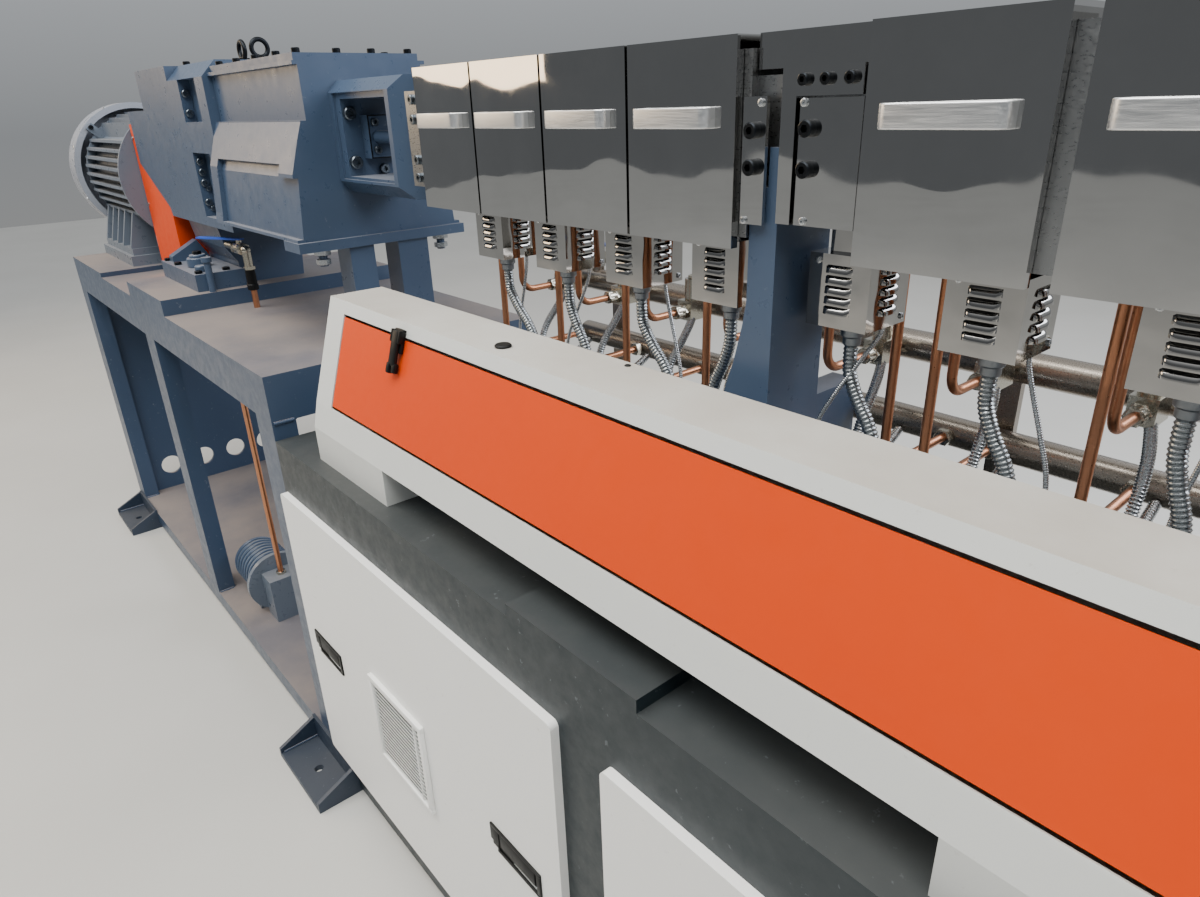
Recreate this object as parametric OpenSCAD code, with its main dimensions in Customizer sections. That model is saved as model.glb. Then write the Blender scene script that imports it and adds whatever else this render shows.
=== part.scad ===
// Twin-screw plastic extruder: welded base, drive motor, gearbox, heated barrel
// line under mirror covers, and the cable duct on the operator's side.
// X runs along the screws towards the die, -Y is the operator's side, +Z is up.
// The origin lies on the floor under the middle of the machine.

/* [Base frame] */
// Width of the welded base across its side faces
base_w = 652; // [600:1:760]
// Length of the high base section under the drive
drive_base_l = 1965; // [1800:5:2200]
// Length of the low base section under the barrels
barrel_base_l = 2046; // [1950:1:2200]
// Height of the drive deck above the floor
drive_deck_z = 1018; // [960:1:1060]
// Height of the barrel deck above the floor
barrel_deck_z = 880; // [840:1:900]
// Depth of the deck's box section
deck_t = 101; // [80:1:130]
// Width of a base leg along the machine
leg_w = 95; // [70:1:120]
// Depth of a base leg across the machine
leg_d = 50; // [40:1:80]
// Top of the bottom shelf above the floor
shelf_z = 66; // [50:1:90]
// Distance from the drive end to the middle leg
mid_leg_x = 946; // [800:1:1100]
// Thickness of the end wall
end_wall_t = 12; // [8:1:20]
// Radius of the holes in the end wall
end_hole_r = 38; // [20:1:60]
// Height of the pad under the motor above the drive deck
motor_pad_h = 15; // [8:1:30]
// Distance from the motor's shaft end back to its pad
motor_pad_back = 71; // [50:1:90]
// Height of the pad under the gearbox above the drive deck
gear_pad_h = 42; // [30:1:60]
// Length of the pad under the gearbox
gear_pad_l = 373; // [340:1:440]
// Distance from the gearbox face back to the gearbox pad's far edge
gear_pad_back = 1044; // [1000:1:1080]
// Height of the pad under a barrel pillar
pillar_pad_h = 19; // [10:1:30]
// Length of the pad under a barrel pillar
pillar_pad_l = 252; // [200:1:280]

/* [Feet] */
// Thickness of a foot plate
foot_t = 15; // [10:1:25]
// How far a foot plate stands out from the base
foot_out = 102; // [70:1:130]
// Length of a foot along the machine
foot_l = 245; // [180:1:300]
// Height of a foot's gusset above its plate
foot_gusset_h = 62; // [40:1:64]
// Radius of the anchor hole in a foot
foot_hole_r = 11; // [7:1:16]

/* [Panels] */
// Length of one lift-off panel
panel_l = 930; // [860:1:950]
// Gap between two panels, where the frame shows
panel_gap = 97; // [80:1:110]
// Lower edge of the panels above the floor
panel_z0 = 87; // [75:1:120]
// Height of a panel
panel_h = 683; // [600:1:700]
// Thickness by which a panel stands proud
panel_t = 14; // [6:1:20]
// Length of a recessed panel latch
latch_l = 134; // [100:1:160]
// Height of a recessed panel latch
latch_h = 50; // [36:1:64]
// Side of the square air grille
grille_s = 204; // [160:1:240]

/* [Drive motor] */
// Height of the motor shaft above its feet
motor_h = 250; // [230:1:280]
// Radius over the cooling fins
motor_r = 205; // [190:1:214]
// Length of the finned body
motor_body_l = 580; // [540:1:620]
// Length of the fan cowl
cowl_l = 124; // [80:1:160]
// Outer radius of the fan cowl
cowl_r = 236; // [230:1:244]
// Gap between the motor and the gearbox adapter
coupling_gap = 51; // [40:1:80]
// Thickness of the steel plate under the motor feet
motor_plate_t = 33; // [20:1:45]
// Length of the plate under the motor feet
motor_plate_l = 430; // [400:1:440]
// Distance from the motor's shaft end back to its plate
motor_plate_back = 113; // [100:1:130]
// Half the width of the plate under the motor feet
motor_plate_hw = 216; // [200:1:240]
// Thickness of a cooling fin
fin_t = 9; // [6:0.5:11]
// Distance from fin to fin
fin_pitch = 28; // [24:1:32]
// Depth of the cooling fins
fin_depth = 36; // [24:1:44]

/* [Gearbox] */
// How far the gearbox face stands back from the base step
gear_face_back = 51; // [30:1:90]
// Length of the upper gear housing
gear_main_l = 520; // [470:1:560]
// Half width of the upper housing at its bottom
gear_hw_low = 189; // [175:1:200]
// Half width of the upper housing at its top
gear_hw_top = 141; // [120:1:160]
// Bottom of the upper housing above the floor
gear_z0 = 1256; // [1225:1:1275]
// Top of the upper housing above the floor
gear_z1 = 1590; // [1570:1:1620]
// Length of the bolted flange block
gear_flange_l = 300; // [260:1:320]
// Length of the tapered adapter
adapter_l = 500; // [450:1:520]
// Half width of the adapter
adapter_hw = 154; // [130:1:165]
// Thickness of the top cover plate
gear_lid_t = 14; // [8:1:20]
// Thickness of the stand's plate
stand_t = 20; // [14:1:30]

/* [Barrel line] */
// Screw diameter
screw_d = 43; // [40:0.5:46]
// Number of barrel sections
sections = 10; // [9:1:10]
// Section that shows its flanges over the pillar
pillar_section = 5; // [4:1:6]
// Height of the screws above the floor
axis_z = 1450; // [1440:1:1460]
// Distance from screw to screw
screw_gap = 35; // [33:0.5:38]
// Length of the lantern housing
lantern_l = 303; // [280:1:330]
// Thickness of the first barrel flange
barrel_flange_t = 45; // [35:1:50]
// Length of the die adapter
die_l = 45; // [35:1:80]
// Half width of the mirror covers
cover_hw = 82; // [78:1:100]
// Lower edge of the covers above the floor
cover_z0 = 1342; // [1335:1:1350]
// Upper edge of the covers above the floor
cover_z1 = 1560; // [1552:1:1580]
// Thickness of the cover sheet
cover_t = 2; // [1.5:0.5:4]
// Length of one mirror cover
cover_l = 169; // [165:0.5:170]
// Length of a cover handle
handle_l = 120; // [110:1:140]
// Height of a cover handle
handle_h = 22; // [20:1:32]
// How far a cover handle stands out
handle_out = 17; // [14:1:24]

/* [Terminal boxes] */
// Width of a terminal box along the machine
tbox_w = 78; // [66:1:90]
// Depth of a terminal box
tbox_d = 80; // [66:1:90]
// Height of a terminal box
tbox_h = 82; // [70:1:84]
// Outer radius of the wire conduits
conduit_r = 8; // [6:0.5:10]
// Outer radius of the copper water tubes
tube_r = 6; // [4:0.5:8]

/* [Water manifolds] */
// Distance of the manifolds behind the screws
manifold_y = 256; // [240:1:270]
// Height of the lower manifold above the floor
manifold_low_z = 1058; // [1040:1:1080]
// Height of the upper manifold above the floor
manifold_high_z = 1170; // [1150:1:1190]
// Outer radius of the manifold pipes
manifold_r = 21; // [14:1:24]

/* [Cable duct] */
// Distance from the base step to the duct's end
duct_start = 154; // [130:1:180]
// Distance from the duct's far end to the base end
duct_end_back = 49; // [30:1:80]
// Thickness of the duct's sheet
duct_t = 3; // [2:0.5:4]
// Bottom of the duct above the barrel deck
duct_lift = 67; // [50:1:80]
// Margin from the duct's end to the cover
duct_margin = 70; // [50:1:90]
// Gap round the duct's cover
duct_cover_gap = 5; // [5:0.5:7]
// Thickness of the duct's cover
duct_cover_t = 3; // [2:0.5:4]

/* [Hidden] */
$fn = 48;

eps = 0.5;
pitch = 4 * screw_d;
gear_face_in = drive_base_l - gear_face_back;
die_end_in = gear_face_in + lantern_l + barrel_flange_t + sections * pitch + die_l;
adapter_x_in = gear_face_in - gear_main_l - gear_flange_l - adapter_l;
motor_x_in = adapter_x_in - coupling_gap - motor_body_l - cowl_l;
total_l = die_end_in - motor_x_in;
base_x0 = -total_l / 2 - motor_x_in;
step_x = base_x0 + drive_base_l;
base_x1 = step_x + barrel_base_l;
half_w = base_w / 2;
motor_x0 = base_x0 + motor_x_in;
gear_face_x = base_x0 + gear_face_in;
lantern_x1 = gear_face_x + lantern_l;
barrel_x0 = lantern_x1 + barrel_flange_t;
barrel_x1 = barrel_x0 + sections * pitch;
gear_pad_x0 = gear_face_x - gear_pad_back;
gear_pad_x1 = gear_pad_x0 + gear_pad_l;
gear_pad_z = drive_deck_z + gear_pad_h;
motor_pad_z = drive_deck_z + motor_pad_h;
motor_foot_z = motor_pad_z + motor_plate_t;
motor_z = motor_foot_z + motor_h;
gear_main_x0 = gear_face_x - gear_main_l;
gear_flange_x0 = gear_main_x0 - gear_flange_l;
adapter_x0 = gear_flange_x0 - adapter_l;
motor_x1 = motor_x0 + cowl_l + motor_body_l;

base_blue = "#465567";
base_dark = "#2c4046";
white_grey = "#dcdcda";
duct_grey = "#d0d3d0";
orange = "#f4561f";
bright = "#c9ccd0";
copper = "#b5643c";
black = "#222426";

// A block given by its lowest and highest corners
module block(x, y, z) {
    translate([x[0], y[0], z[0]]) cube([x[1] - x[0], y[1] - y[0], z[1] - z[0]]);
}

// A Y-Z outline drawn out along X
module along_x(x, points) {
    translate([x[0], 0, 0]) rotate([90, 0, 90]) linear_extrude(x[1] - x[0]) polygon(points);
}

// An X-Z outline drawn out along Y
module along_y(y, points) {
    translate([0, y[1], 0]) rotate([90, 0, 0]) linear_extrude(y[1] - y[0]) polygon(points);
}

module rod_x(x, y, z, r) {
    translate([x[0], y, z]) rotate([0, 90, 0]) cylinder(h = x[1] - x[0], r = r);
}

module rod_y(x, y, z, r) {
    translate([x, y[1], z]) rotate([90, 0, 0]) cylinder(h = y[1] - y[0], r = r);
}

module rod_z(x, y, z, r) {
    translate([x, y, z[0]]) cylinder(h = z[1] - z[0], r = r);
}

// A quarter bend from a tube that runs back at z to one that falls at y
module bend_down(x, y, z, bend, r) {
    translate([x, y - bend, z - bend]) rotate([90, 0, 90])
        rotate_extrude(angle = 90) translate([bend, 0]) circle(r = r);
}

// A quarter bend from a tube that falls at y to one that runs back at z
module bend_back(x, y, z, bend, r) {
    translate([x, y + bend, z + bend]) rotate([90, 0, 90]) rotate([0, 0, 180])
        rotate_extrude(angle = 90) translate([bend, 0]) circle(r = r);
}

// Base: high section under the drive

module gear_deck() {
    color(base_blue) {
        block([base_x0, step_x], [-half_w, half_w], [drive_deck_z - deck_t, drive_deck_z]);
        block([base_x0, motor_x1 - motor_pad_back], [-half_w, half_w], [drive_deck_z - eps, motor_pad_z]);
        block([gear_pad_x0, gear_pad_x1], [-half_w, half_w], [drive_deck_z - eps, gear_pad_z]);
    }
}

leg_starts = [base_x0, base_x0 + mid_leg_x, step_x - leg_w];

module base_legs() {
    color(base_blue)
        for (x = leg_starts, side = [-1, 1])
            translate([x, side < 0 ? -half_w : half_w - leg_d, shelf_z])
                cube([leg_w, leg_d, drive_deck_z - deck_t - shelf_z]);
}

wall_hole_y = base_w / 5;
wall_hole_z = 163;

module base_end_wall() {
    x0 = base_x0 + (leg_w - end_wall_t) / 2;
    color(base_blue)
        difference() {
            block([x0, x0 + end_wall_t], [leg_d - half_w, half_w - leg_d], [shelf_z, drive_deck_z - deck_t]);
            for (k = [-1.5, -0.5, 0.5, 1.5])
                rod_x([x0 - 1, x0 + end_wall_t + 1], k * wall_hole_y, wall_hole_z, end_hole_r);
        }
}

module base_shelf() {
    color(base_blue) block([base_x0, step_x], [-half_w, half_w], [foot_t, shelf_z]);
}

foot_starts = [base_x0 + 25, step_x - foot_l / 2 - 20, base_x1 - foot_l - 25];
foot_under = 60;
foot_web_t = 10;

module foot(side) {
    y_out = -half_w - foot_out;
    scale([1, -side, 1]) {
        difference() {
            block([0, foot_l], [y_out, -half_w + foot_under], [0, foot_t]);
            rod_z(foot_l / 2, y_out + foot_out / 2, [-1, foot_t + 1], foot_hole_r);
        }
        for (x = [0, foot_l - foot_web_t])
            translate([x, 0, 0]) along_x([0, foot_web_t], [
                [y_out, foot_t], [-half_w, foot_t], [-half_w, foot_t + foot_gusset_h],
                [y_out, foot_t + 12]
            ]);
        block([0, foot_l], [-half_w - 8, -half_w], [foot_t, foot_t + foot_gusset_h]);
    }
}

module foot_brackets() {
    color(base_blue) for (x = foot_starts, side = [-1, 1]) translate([x, 0, 0]) foot(side);
}

// Base: low section under the barrels

pillar_starts = [for (k = [pillar_section, sections]) barrel_x0 + (k - 1) * pitch];
pillar_x = pillar_starts[0];
pad_before = 152;

module barrel_cabinet() {
    color(base_dark) {
        block([step_x, base_x1], [-half_w, half_w], [foot_t, barrel_deck_z]);
        for (x = pillar_starts)
            block([x - pad_before, x - pad_before + pillar_pad_l], [-half_w, half_w], [barrel_deck_z - eps, barrel_deck_z + pillar_pad_h]);
    }
}

panel_starts = [step_x + 6, step_x + 6 + panel_l + panel_gap];
panel_edge_r = 10;
latch_in = 50;
latch_mid_z = panel_z0 + 0.5 * panel_h;
grille_mid_z = panel_z0 + 0.465 * panel_h;

module panel_blank(l, h, r, t) {
    rotate([90, 0, 0]) linear_extrude(t)
        hull() for (x = [r, l - r], z = [r, h - r]) translate([x, z]) circle(r = r);
}

module front_panels() {
    color(white_grey)
        for (x = panel_starts)
            difference() {
                translate([x, -half_w, panel_z0]) panel_blank(panel_l, panel_h, panel_edge_r, panel_t);
                for (lx = [latch_in, panel_l - latch_in - latch_l])
                    block([x + lx, x + lx + latch_l], [-half_w - panel_t - 1, -half_w - panel_t + 6],
                        [latch_mid_z - latch_h / 2, latch_mid_z + latch_h / 2]);
            }
}

module rear_panels() {
    color(white_grey)
        for (x = panel_starts)
            translate([x, half_w + panel_t, panel_z0]) panel_blank(panel_l, panel_h, panel_edge_r, panel_t);
}

module flush_latch(l, h) {
    difference() {
        block([0, l], [-3, 6], [0, h]);
        block([8, l - 8], [-4, 2], [7, h - 7]);
    }
    block([12, l * 0.72], [-1, 2 + eps], [10, h - 10]);
}

module panel_latches() {
    color(black)
        for (x = panel_starts, lx = [latch_in, panel_l - latch_in - latch_l])
            translate([x + lx, -half_w - panel_t, latch_mid_z - latch_h / 2]) flush_latch(latch_l, latch_h);
}

grille_t = 9;
grille_slats = 9;

module air_grille() {
    s = grille_s;
    pitch_z = (s - 24) / grille_slats;
    difference() {
        block([0, s], [-grille_t, 0], [0, s]);
        for (k = [0 : grille_slats - 1])
            block([12, s - 12], [-grille_t - 1, -4], [12 + k * pitch_z + 8, 12 + (k + 1) * pitch_z]);
    }
}

module air_grilles() {
    color(white_grey)
        for (x = panel_starts)
            translate([x + panel_l * 0.365, -half_w - panel_t, grille_mid_z - grille_s / 2]) air_grille();
}

// Cable duct on the operator's side

duct_x0 = step_x + duct_start;
duct_x1 = base_x1 - duct_end_back;
duct_z0 = barrel_deck_z + duct_lift;
duct_y0 = -294;
duct_kink_y = -282;
duct_kink_z = 996;
duct_top_y = -221;
duct_top_z = 1187;
duct_back_y = -118;
duct_strip = 28;

slope = [duct_top_y - duct_kink_y, duct_top_z - duct_kink_z];
slope_l = norm(slope);
slope_u = slope / slope_l;
slope_n = [-slope_u[1], slope_u[0]];
function on_slope(s, out = 0) =
    [duct_kink_y + slope_u[0] * s + slope_n[0] * out, duct_kink_z + slope_u[1] * s + slope_n[1] * out];
duct_cover_s0 = 8;
duct_cover_s1 = slope_l - duct_strip;

duct_outline = [
    [duct_y0, duct_z0], [duct_kink_y, duct_kink_z], [duct_top_y, duct_top_z],
    [duct_back_y, duct_top_z], [duct_back_y, duct_z0]
];
duct_hollow = [
    [duct_y0 + duct_t, duct_z0 + duct_t], [duct_kink_y + duct_t, duct_kink_z],
    [duct_top_y + duct_t, duct_top_z - duct_t],
    [duct_back_y - duct_t, duct_top_z - duct_t], [duct_back_y - duct_t, duct_z0 + duct_t]
];
duct_open_x = [duct_x0 + duct_margin, duct_x1 - duct_margin];
duct_seat = 12;

module duct_body() {
    color(duct_grey)
        difference() {
            along_x([duct_x0, duct_x1], duct_outline);
            along_x([duct_x0 + duct_t, duct_x1 - duct_t], duct_hollow);
            along_x([duct_open_x[0] - duct_cover_gap, duct_open_x[1] + duct_cover_gap], [
                on_slope(duct_cover_s0 - duct_cover_gap, 20),
                on_slope(duct_cover_s1 + duct_cover_gap, 20),
                on_slope(duct_cover_s1 + duct_cover_gap, -duct_cover_t - 12),
                on_slope(duct_cover_s0 - duct_cover_gap, -duct_cover_t - 12)
            ]);
        }
}

duct_foot_l = 278;
duct_foot_d = 61;

module duct_feet() {
    color(duct_grey)
        for (x = [duct_x0, pillar_starts[1] - pad_before - 6 - duct_foot_l])
            block([x, x + duct_foot_l], [duct_y0, duct_y0 + duct_foot_d], [barrel_deck_z, duct_z0]);
}

module duct_cover() {
    color(orange)
        along_x(duct_open_x, [
            on_slope(duct_cover_s0, 0), on_slope(duct_cover_s1, 0),
            on_slope(duct_cover_s1, -duct_cover_t), on_slope(duct_cover_s0, -duct_cover_t)
        ]);
}

duct_latch_l = 30;
duct_latch_in = 197;
duct_latch_h = 75;

module duct_latches() {
    color(black)
        for (x = [duct_open_x[0] + duct_latch_in, duct_open_x[1] - duct_latch_in - duct_latch_l])
            along_x([x, x + duct_latch_l], [
                on_slope(duct_cover_s1 - duct_latch_h * 0.78, 0.3), on_slope(duct_cover_s1 - duct_latch_h * 0.78, 10),
                on_slope(duct_cover_s1 + duct_latch_h * 0.22, 16), on_slope(duct_cover_s1 + duct_latch_h * 0.22, 0.3)
            ]);
}

// Drive motor

fin_rows = floor(0.62 * motor_r / fin_pitch);
core_r = motor_r - fin_depth;
cowl_rim = 20;

module motor_body() {
    x = [motor_x0 + cowl_l, motor_x1];
    fin_x0 = x[0] + 13;
    fin_l = motor_body_l - 24;
    color("#8d99a3") {
        rod_x(x, 0, motor_z, core_r);
        rod_x([x[0], x[0] + 14], 0, motor_z, motor_r - 8);
        for (k = [-fin_rows : fin_rows]) {
            at = k * fin_pitch;
            reach = sqrt(motor_r * motor_r - (abs(at) + fin_t / 2) * (abs(at) + fin_t / 2));
            block([fin_x0, fin_x0 + fin_l], [-reach, reach], [motor_z + at - fin_t / 2, motor_z + at + fin_t / 2]);
            block([fin_x0, fin_x0 + fin_l], [at - fin_t / 2, at + fin_t / 2], [motor_z - reach, motor_z + reach]);
        }
        for (a = [45 : 90 : 315])
            translate([x[0], 0, motor_z]) rotate([a, 0, 0]) block([0, 20], [-14, 14], [core_r - 10, cowl_r - 8]);
        block([x[0] + 250, x[0] + 410], [core_r - 20, motor_r + 72], [motor_z - 45, motor_z + 85]);
        rod_x([x[1] - 11, x[1]], 0, motor_z, motor_r + 7);
    }
}

module motor_cowl() {
    x = [motor_x0, motor_x0 + cowl_l];
    color("#b9c2c9")
        difference() {
            union() {
                rod_x([x[0] + 20, x[1]], 0, motor_z, cowl_r);
                translate([x[0] + 20, 0, motor_z]) rotate([0, -90, 0]) cylinder(h = 20, r1 = cowl_r, r2 = cowl_r - 22);
            }
            rod_x([x[0] + 6, x[1] - 6], 0, motor_z, cowl_r - 26);
            rod_x([x[0] + 24, x[1] - 6], 0, motor_z, cowl_r - 4);
            rod_x([x[1] - 7, x[1] + 1], 0, motor_z, cowl_r - cowl_rim);
            for (r = [60 : 26 : cowl_r - 50], a = [0 : 45 : 315])
                translate([x[0] - 1, 0, motor_z]) rotate([a, 0, 0]) rotate([0, 90, 0])
                    rotate_extrude(angle = 36) translate([r, 0]) square([14, 9]);
        }
}

module motor_feet() {
    x1 = motor_x1 - motor_plate_back;
    x0 = x1 - motor_plate_l;
    foot_hw = motor_plate_hw - 12;
    color("#5d6b79") {
        difference() {
            block([x0, x1], [-motor_plate_hw, motor_plate_hw], [motor_pad_z, motor_foot_z]);
            block([x0 - 1, x1 + 1], [-90, 90], [motor_pad_z - 1, motor_foot_z + 1]);
        }
    }
    color("#8d99a3") {
        for (side = [[-foot_hw, -foot_hw + 84], [foot_hw - 84, foot_hw]])
            block([x0 + 16, x1 - 16], side, [motor_foot_z, motor_foot_z + 22]);
        difference() {
            for (dx = [24, 110, 196, 282, motor_plate_l - 38])
                along_x([x0 + dx, x0 + dx + 14], [
                    [-foot_hw, motor_foot_z], [foot_hw, motor_foot_z], [foot_hw, motor_foot_z + 28],
                    [core_r - 10, motor_z - 60], [10 - core_r, motor_z - 60], [-foot_hw, motor_foot_z + 28]
                ]);
            block([x0, x1], [-foot_hw + 84, foot_hw - 84], [motor_foot_z - 1, motor_foot_z + 60]);
            rod_x([motor_x0, motor_x1], 0, motor_z, motor_r);
        }
    }
}

adapter_z0 = gear_z0 - 30;
adapter_shelf_z = axis_z + 66;
adapter_top_z = gear_z1 + 29;
adapter_shoulder_x = adapter_x0 + 194;
adapter_chin = [adapter_x0 + 239, gear_z0 - 6];
adapter_cheek = [adapter_x0, axis_z - 83];

module adapter_solid() {
    along_y([-adapter_hw, adapter_hw], [
        [adapter_x0, adapter_shelf_z], [adapter_shoulder_x, adapter_shelf_z], [adapter_shoulder_x, adapter_top_z],
        [gear_flange_x0, adapter_top_z], [gear_flange_x0, adapter_z0],
        [adapter_chin[0] + 12, adapter_z0], adapter_chin, adapter_cheek
    ]);
}

guard_hw = adapter_hw - 4;
guard_top_z = axis_z + 30;
guard_t = 4;
guard_drop = 6;

module guard_outline(x0, y, t) {
    along_y(y, [
        [x0, drive_deck_z - (t > 0 ? 1 : 0)], [adapter_chin[0] - 6 - t, drive_deck_z - (t > 0 ? 1 : 0)],
        [adapter_chin[0] - 6 - t, adapter_chin[1] - guard_drop - t],
        [adapter_cheek[0] - 6 - t, adapter_cheek[1] - guard_drop - t],
        [adapter_cheek[0] - 6 - t, guard_top_z - t], [x0, guard_top_z - t]
    ]);
}

module coupling_guard() {
    x0 = motor_x1 + 6;
    color(orange)
        difference() {
            guard_outline(x0, [-guard_hw, guard_hw], 0);
            guard_outline(x0 - 1, [-guard_hw + guard_t, guard_hw - guard_t], guard_t);
            rod_x([motor_x1, adapter_x0 + 400], 0, motor_z, 66);
        }
}

module shaft_coupling() {
    color(bright)
        difference() {
            union() {
                rod_x([motor_x1, adapter_x0 + 200], 0, motor_z, 30);
                rod_x([motor_x1 + 30, motor_x1 + 100], 0, motor_z, 60);
            }
            adapter_solid();
        }
}

// Gearbox

module gearbox_adapter() {
    color(base_blue) adapter_solid();
}

lower_x1 = gear_pad_x1 - 73;
lower_hw = 87;

module gearbox_lower() {
    color(base_blue)
        along_x([gear_pad_x0 + 30, lower_x1], [
            [-lower_hw, gear_pad_z], [lower_hw, gear_pad_z], [lower_hw + 5, gear_pad_z + 60],
            [lower_hw + 31, gear_pad_z + 100], [lower_hw + 43, gear_z0 - 30], [-lower_hw - 43, gear_z0 - 30],
            [-lower_hw - 31, gear_pad_z + 100], [-lower_hw - 5, gear_pad_z + 60]
        ]);
}

flange_edge = 36;
flange_sink = 28;
rib_web = [axis_z - 39, axis_z + 34];

module gearbox_flange() {
    x0 = gear_flange_x0;
    top = adapter_top_z;
    pocket = [x0 + 94, gear_main_x0 - 64];
    color(base_blue)
        difference() {
            along_x([x0, gear_main_x0], [
                [-adapter_hw, gear_z0 - 30], [adapter_hw, gear_z0 - 30], [adapter_hw, top - flange_edge],
                [adapter_hw - flange_edge, top], [flange_edge - adapter_hw, top], [-adapter_hw, top - flange_edge]
            ]);
            for (y = [[-adapter_hw - 1, flange_sink - adapter_hw], [adapter_hw - flange_sink, adapter_hw + 1]],
                z = [[gear_z0 - 6, rib_web[0]], [rib_web[1], top - flange_edge]])
                block(pocket, y, z);
        }
}

upper_outline = [
    [gear_hw_low, gear_z0], [gear_hw_low - 4, gear_z0 + 25], [gear_hw_low - 13, axis_z - 63],
    [gear_hw_top + 14, axis_z], [gear_hw_top + 2, axis_z + 32], [gear_hw_top, gear_z1]
];
sink = 12;
function mirrored(points) = [for (k = [len(points) - 1 : -1 : 0]) [-points[k][0], points[k][1]]];

module gearbox_upper() {
    x = [gear_main_x0, gear_face_x];
    low = [axis_z - 70, axis_z - 46];
    color(base_blue)
        difference() {
            along_x(x, concat(upper_outline, mirrored(upper_outline)));
            for (side = [1, -1]) scale([1, side, 1]) {
                block([x[0], x[1] + 1], [gear_hw_top - 10, 300], [axis_z + 34, gear_z1 - 7]);
                along_x([x[0] + 52, x[1] + 1], [
                    [300, gear_z0 + 6], [300, low[0]], [gear_hw_low - 11 - sink, low[0]],
                    [gear_hw_low - 1 - sink, gear_z0 + 6]
                ]);
                along_x([x[0] + 52, x[1] - 76], [
                    [300, low[0] - 1], [300, low[1]], [gear_hw_low - 20 - sink, low[1]],
                    [gear_hw_low - 11 - sink, low[0] - 1]
                ]);
            }
        }
}

module gearbox_lid() {
    x = [gear_main_x0 + 5, gear_face_x - 12];
    color(base_blue)
        block(x, [-gear_hw_top + 8, gear_hw_top - 8], [gear_z1, gear_z1 + gear_lid_t]);
}

eye_h = 26;

module eyebolt() {
    cylinder(h = 8, r = 15);
    translate([0, 0, eye_h]) rotate([90, 0, 0]) rotate_extrude() translate([19.5, 0]) circle(r = 5.5);
}

module eyebolts() {
    color(black)
        for (p = [[gear_main_x0 - 20, 0, 90], [gear_main_x0 - 101, -15, 0]])
            translate([p[0], p[1], adapter_top_z]) rotate([0, 0, p[2]]) eyebolt();
}

lantern_hw = 79;
lantern_hh = 104;
lantern_edge = 22;

lantern_wall = 39;
lantern_nose = 54;

module lantern() {
    x0 = gear_face_x;
    x1 = lantern_x1;
    front_x = x1 - lantern_nose;
    nose_hw = lantern_hw - 35;
    window = [x0 + lantern_wall, x0 + 232];
    color(base_blue)
        difference() {
            intersection() {
                along_x([x0, x1], [
                    [-lantern_hw, axis_z - lantern_hh + lantern_edge], [-lantern_hw + lantern_edge, axis_z - lantern_hh],
                    [lantern_hw - lantern_edge, axis_z - lantern_hh], [lantern_hw, axis_z - lantern_hh + lantern_edge],
                    [lantern_hw, axis_z + lantern_hh - lantern_edge], [lantern_hw - lantern_edge, axis_z + lantern_hh],
                    [-lantern_hw + lantern_edge, axis_z + lantern_hh], [-lantern_hw, axis_z + lantern_hh - lantern_edge]
                ]);
                translate([0, 0, axis_z - lantern_hh - 1]) linear_extrude(2 * lantern_hh + 2) polygon([
                    [x0 - 1, -lantern_hw - 1], [front_x - 1, -lantern_hw - 1], [x1 - 18, -nose_hw], [x1 + 1, -nose_hw],
                    [x1 + 1, nose_hw], [x1 - 18, nose_hw], [front_x - 1, lantern_hw + 1], [x0 - 1, lantern_hw + 1]
                ]);
            }
            block(window, [-lantern_hw - 1, lantern_hw + 1], [axis_z - 72, axis_z + 70]);
            for (y = [[-lantern_hw - 1, 5 - lantern_hw], [lantern_hw - 5, lantern_hw + 1]])
                block([x0 + 17, x0 + 235], y, [axis_z - 77, axis_z + 81]);
        }
}

module lantern_seal() {
    x0 = gear_face_x + lantern_wall;
    color("#39434f")
        block([x0, x0 + 32], [-37, 37], [axis_z - 40, axis_z + 40]);
    color(bright)
        for (s = [-1, 1]) rod_x([x0 + 31, gear_face_x + 232], s * screw_gap / 2, axis_z, 12);
}

stand_x0 = gear_face_x - 70;
stand_x1 = gear_face_x + 12;
stand_leg = [[-84, -29], [28, 100]];

module gearbox_stand() {
    color(base_blue) {
        block([stand_x0, stand_x1], [-gear_hw_low - 3, gear_hw_low + 3], [gear_z0 - stand_t, gear_z0]);
        for (leg = stand_leg)
            block([stand_x0 + 10, stand_x1 - 8], leg, [drive_deck_z, gear_z0 - stand_t + eps]);
    }
    color(bright)
        for (y = [-135, 145]) {
            rod_z(stand_x1 - 30, y, [gear_z0 - stand_t - 34, gear_z0 - stand_t], 9);
        }
}

// Oil system

oil_x = [gear_pad_x0 + 3, gear_pad_x1 - 32];
oil_y = [-222, -lower_hw - 6];
oil_plate_t = 46;

module oil_filter() {
    color("#48586a") {
        block(oil_x, oil_y, [gear_pad_z, gear_pad_z + oil_plate_t]);
        along_x([oil_x[0] + 28, oil_x[0] + 66], [
            [oil_y[0] + 18, gear_pad_z + oil_plate_t - 1], [oil_y[1] - 4, gear_pad_z + oil_plate_t - 1],
            [oil_y[1] - 36, gear_pad_z + 102], [oil_y[0] + 18, gear_pad_z + 62]
        ]);
        rod_z(gear_pad_x1 - 12, oil_y[0] + 32, [gear_pad_z, gear_pad_z + 80], 9);
        rod_z(gear_pad_x1 - 12, oil_y[0] + 32, [gear_pad_z + 80, gear_pad_z + 92], 13);
    }
}

valve_x = gear_pad_x1 + 35;
valve_z = gear_pad_z + 110;
valve_y = -112;
valve_drop_x = valve_x + 45;
lever_rest = 207;
lever_l = 144;

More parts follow.
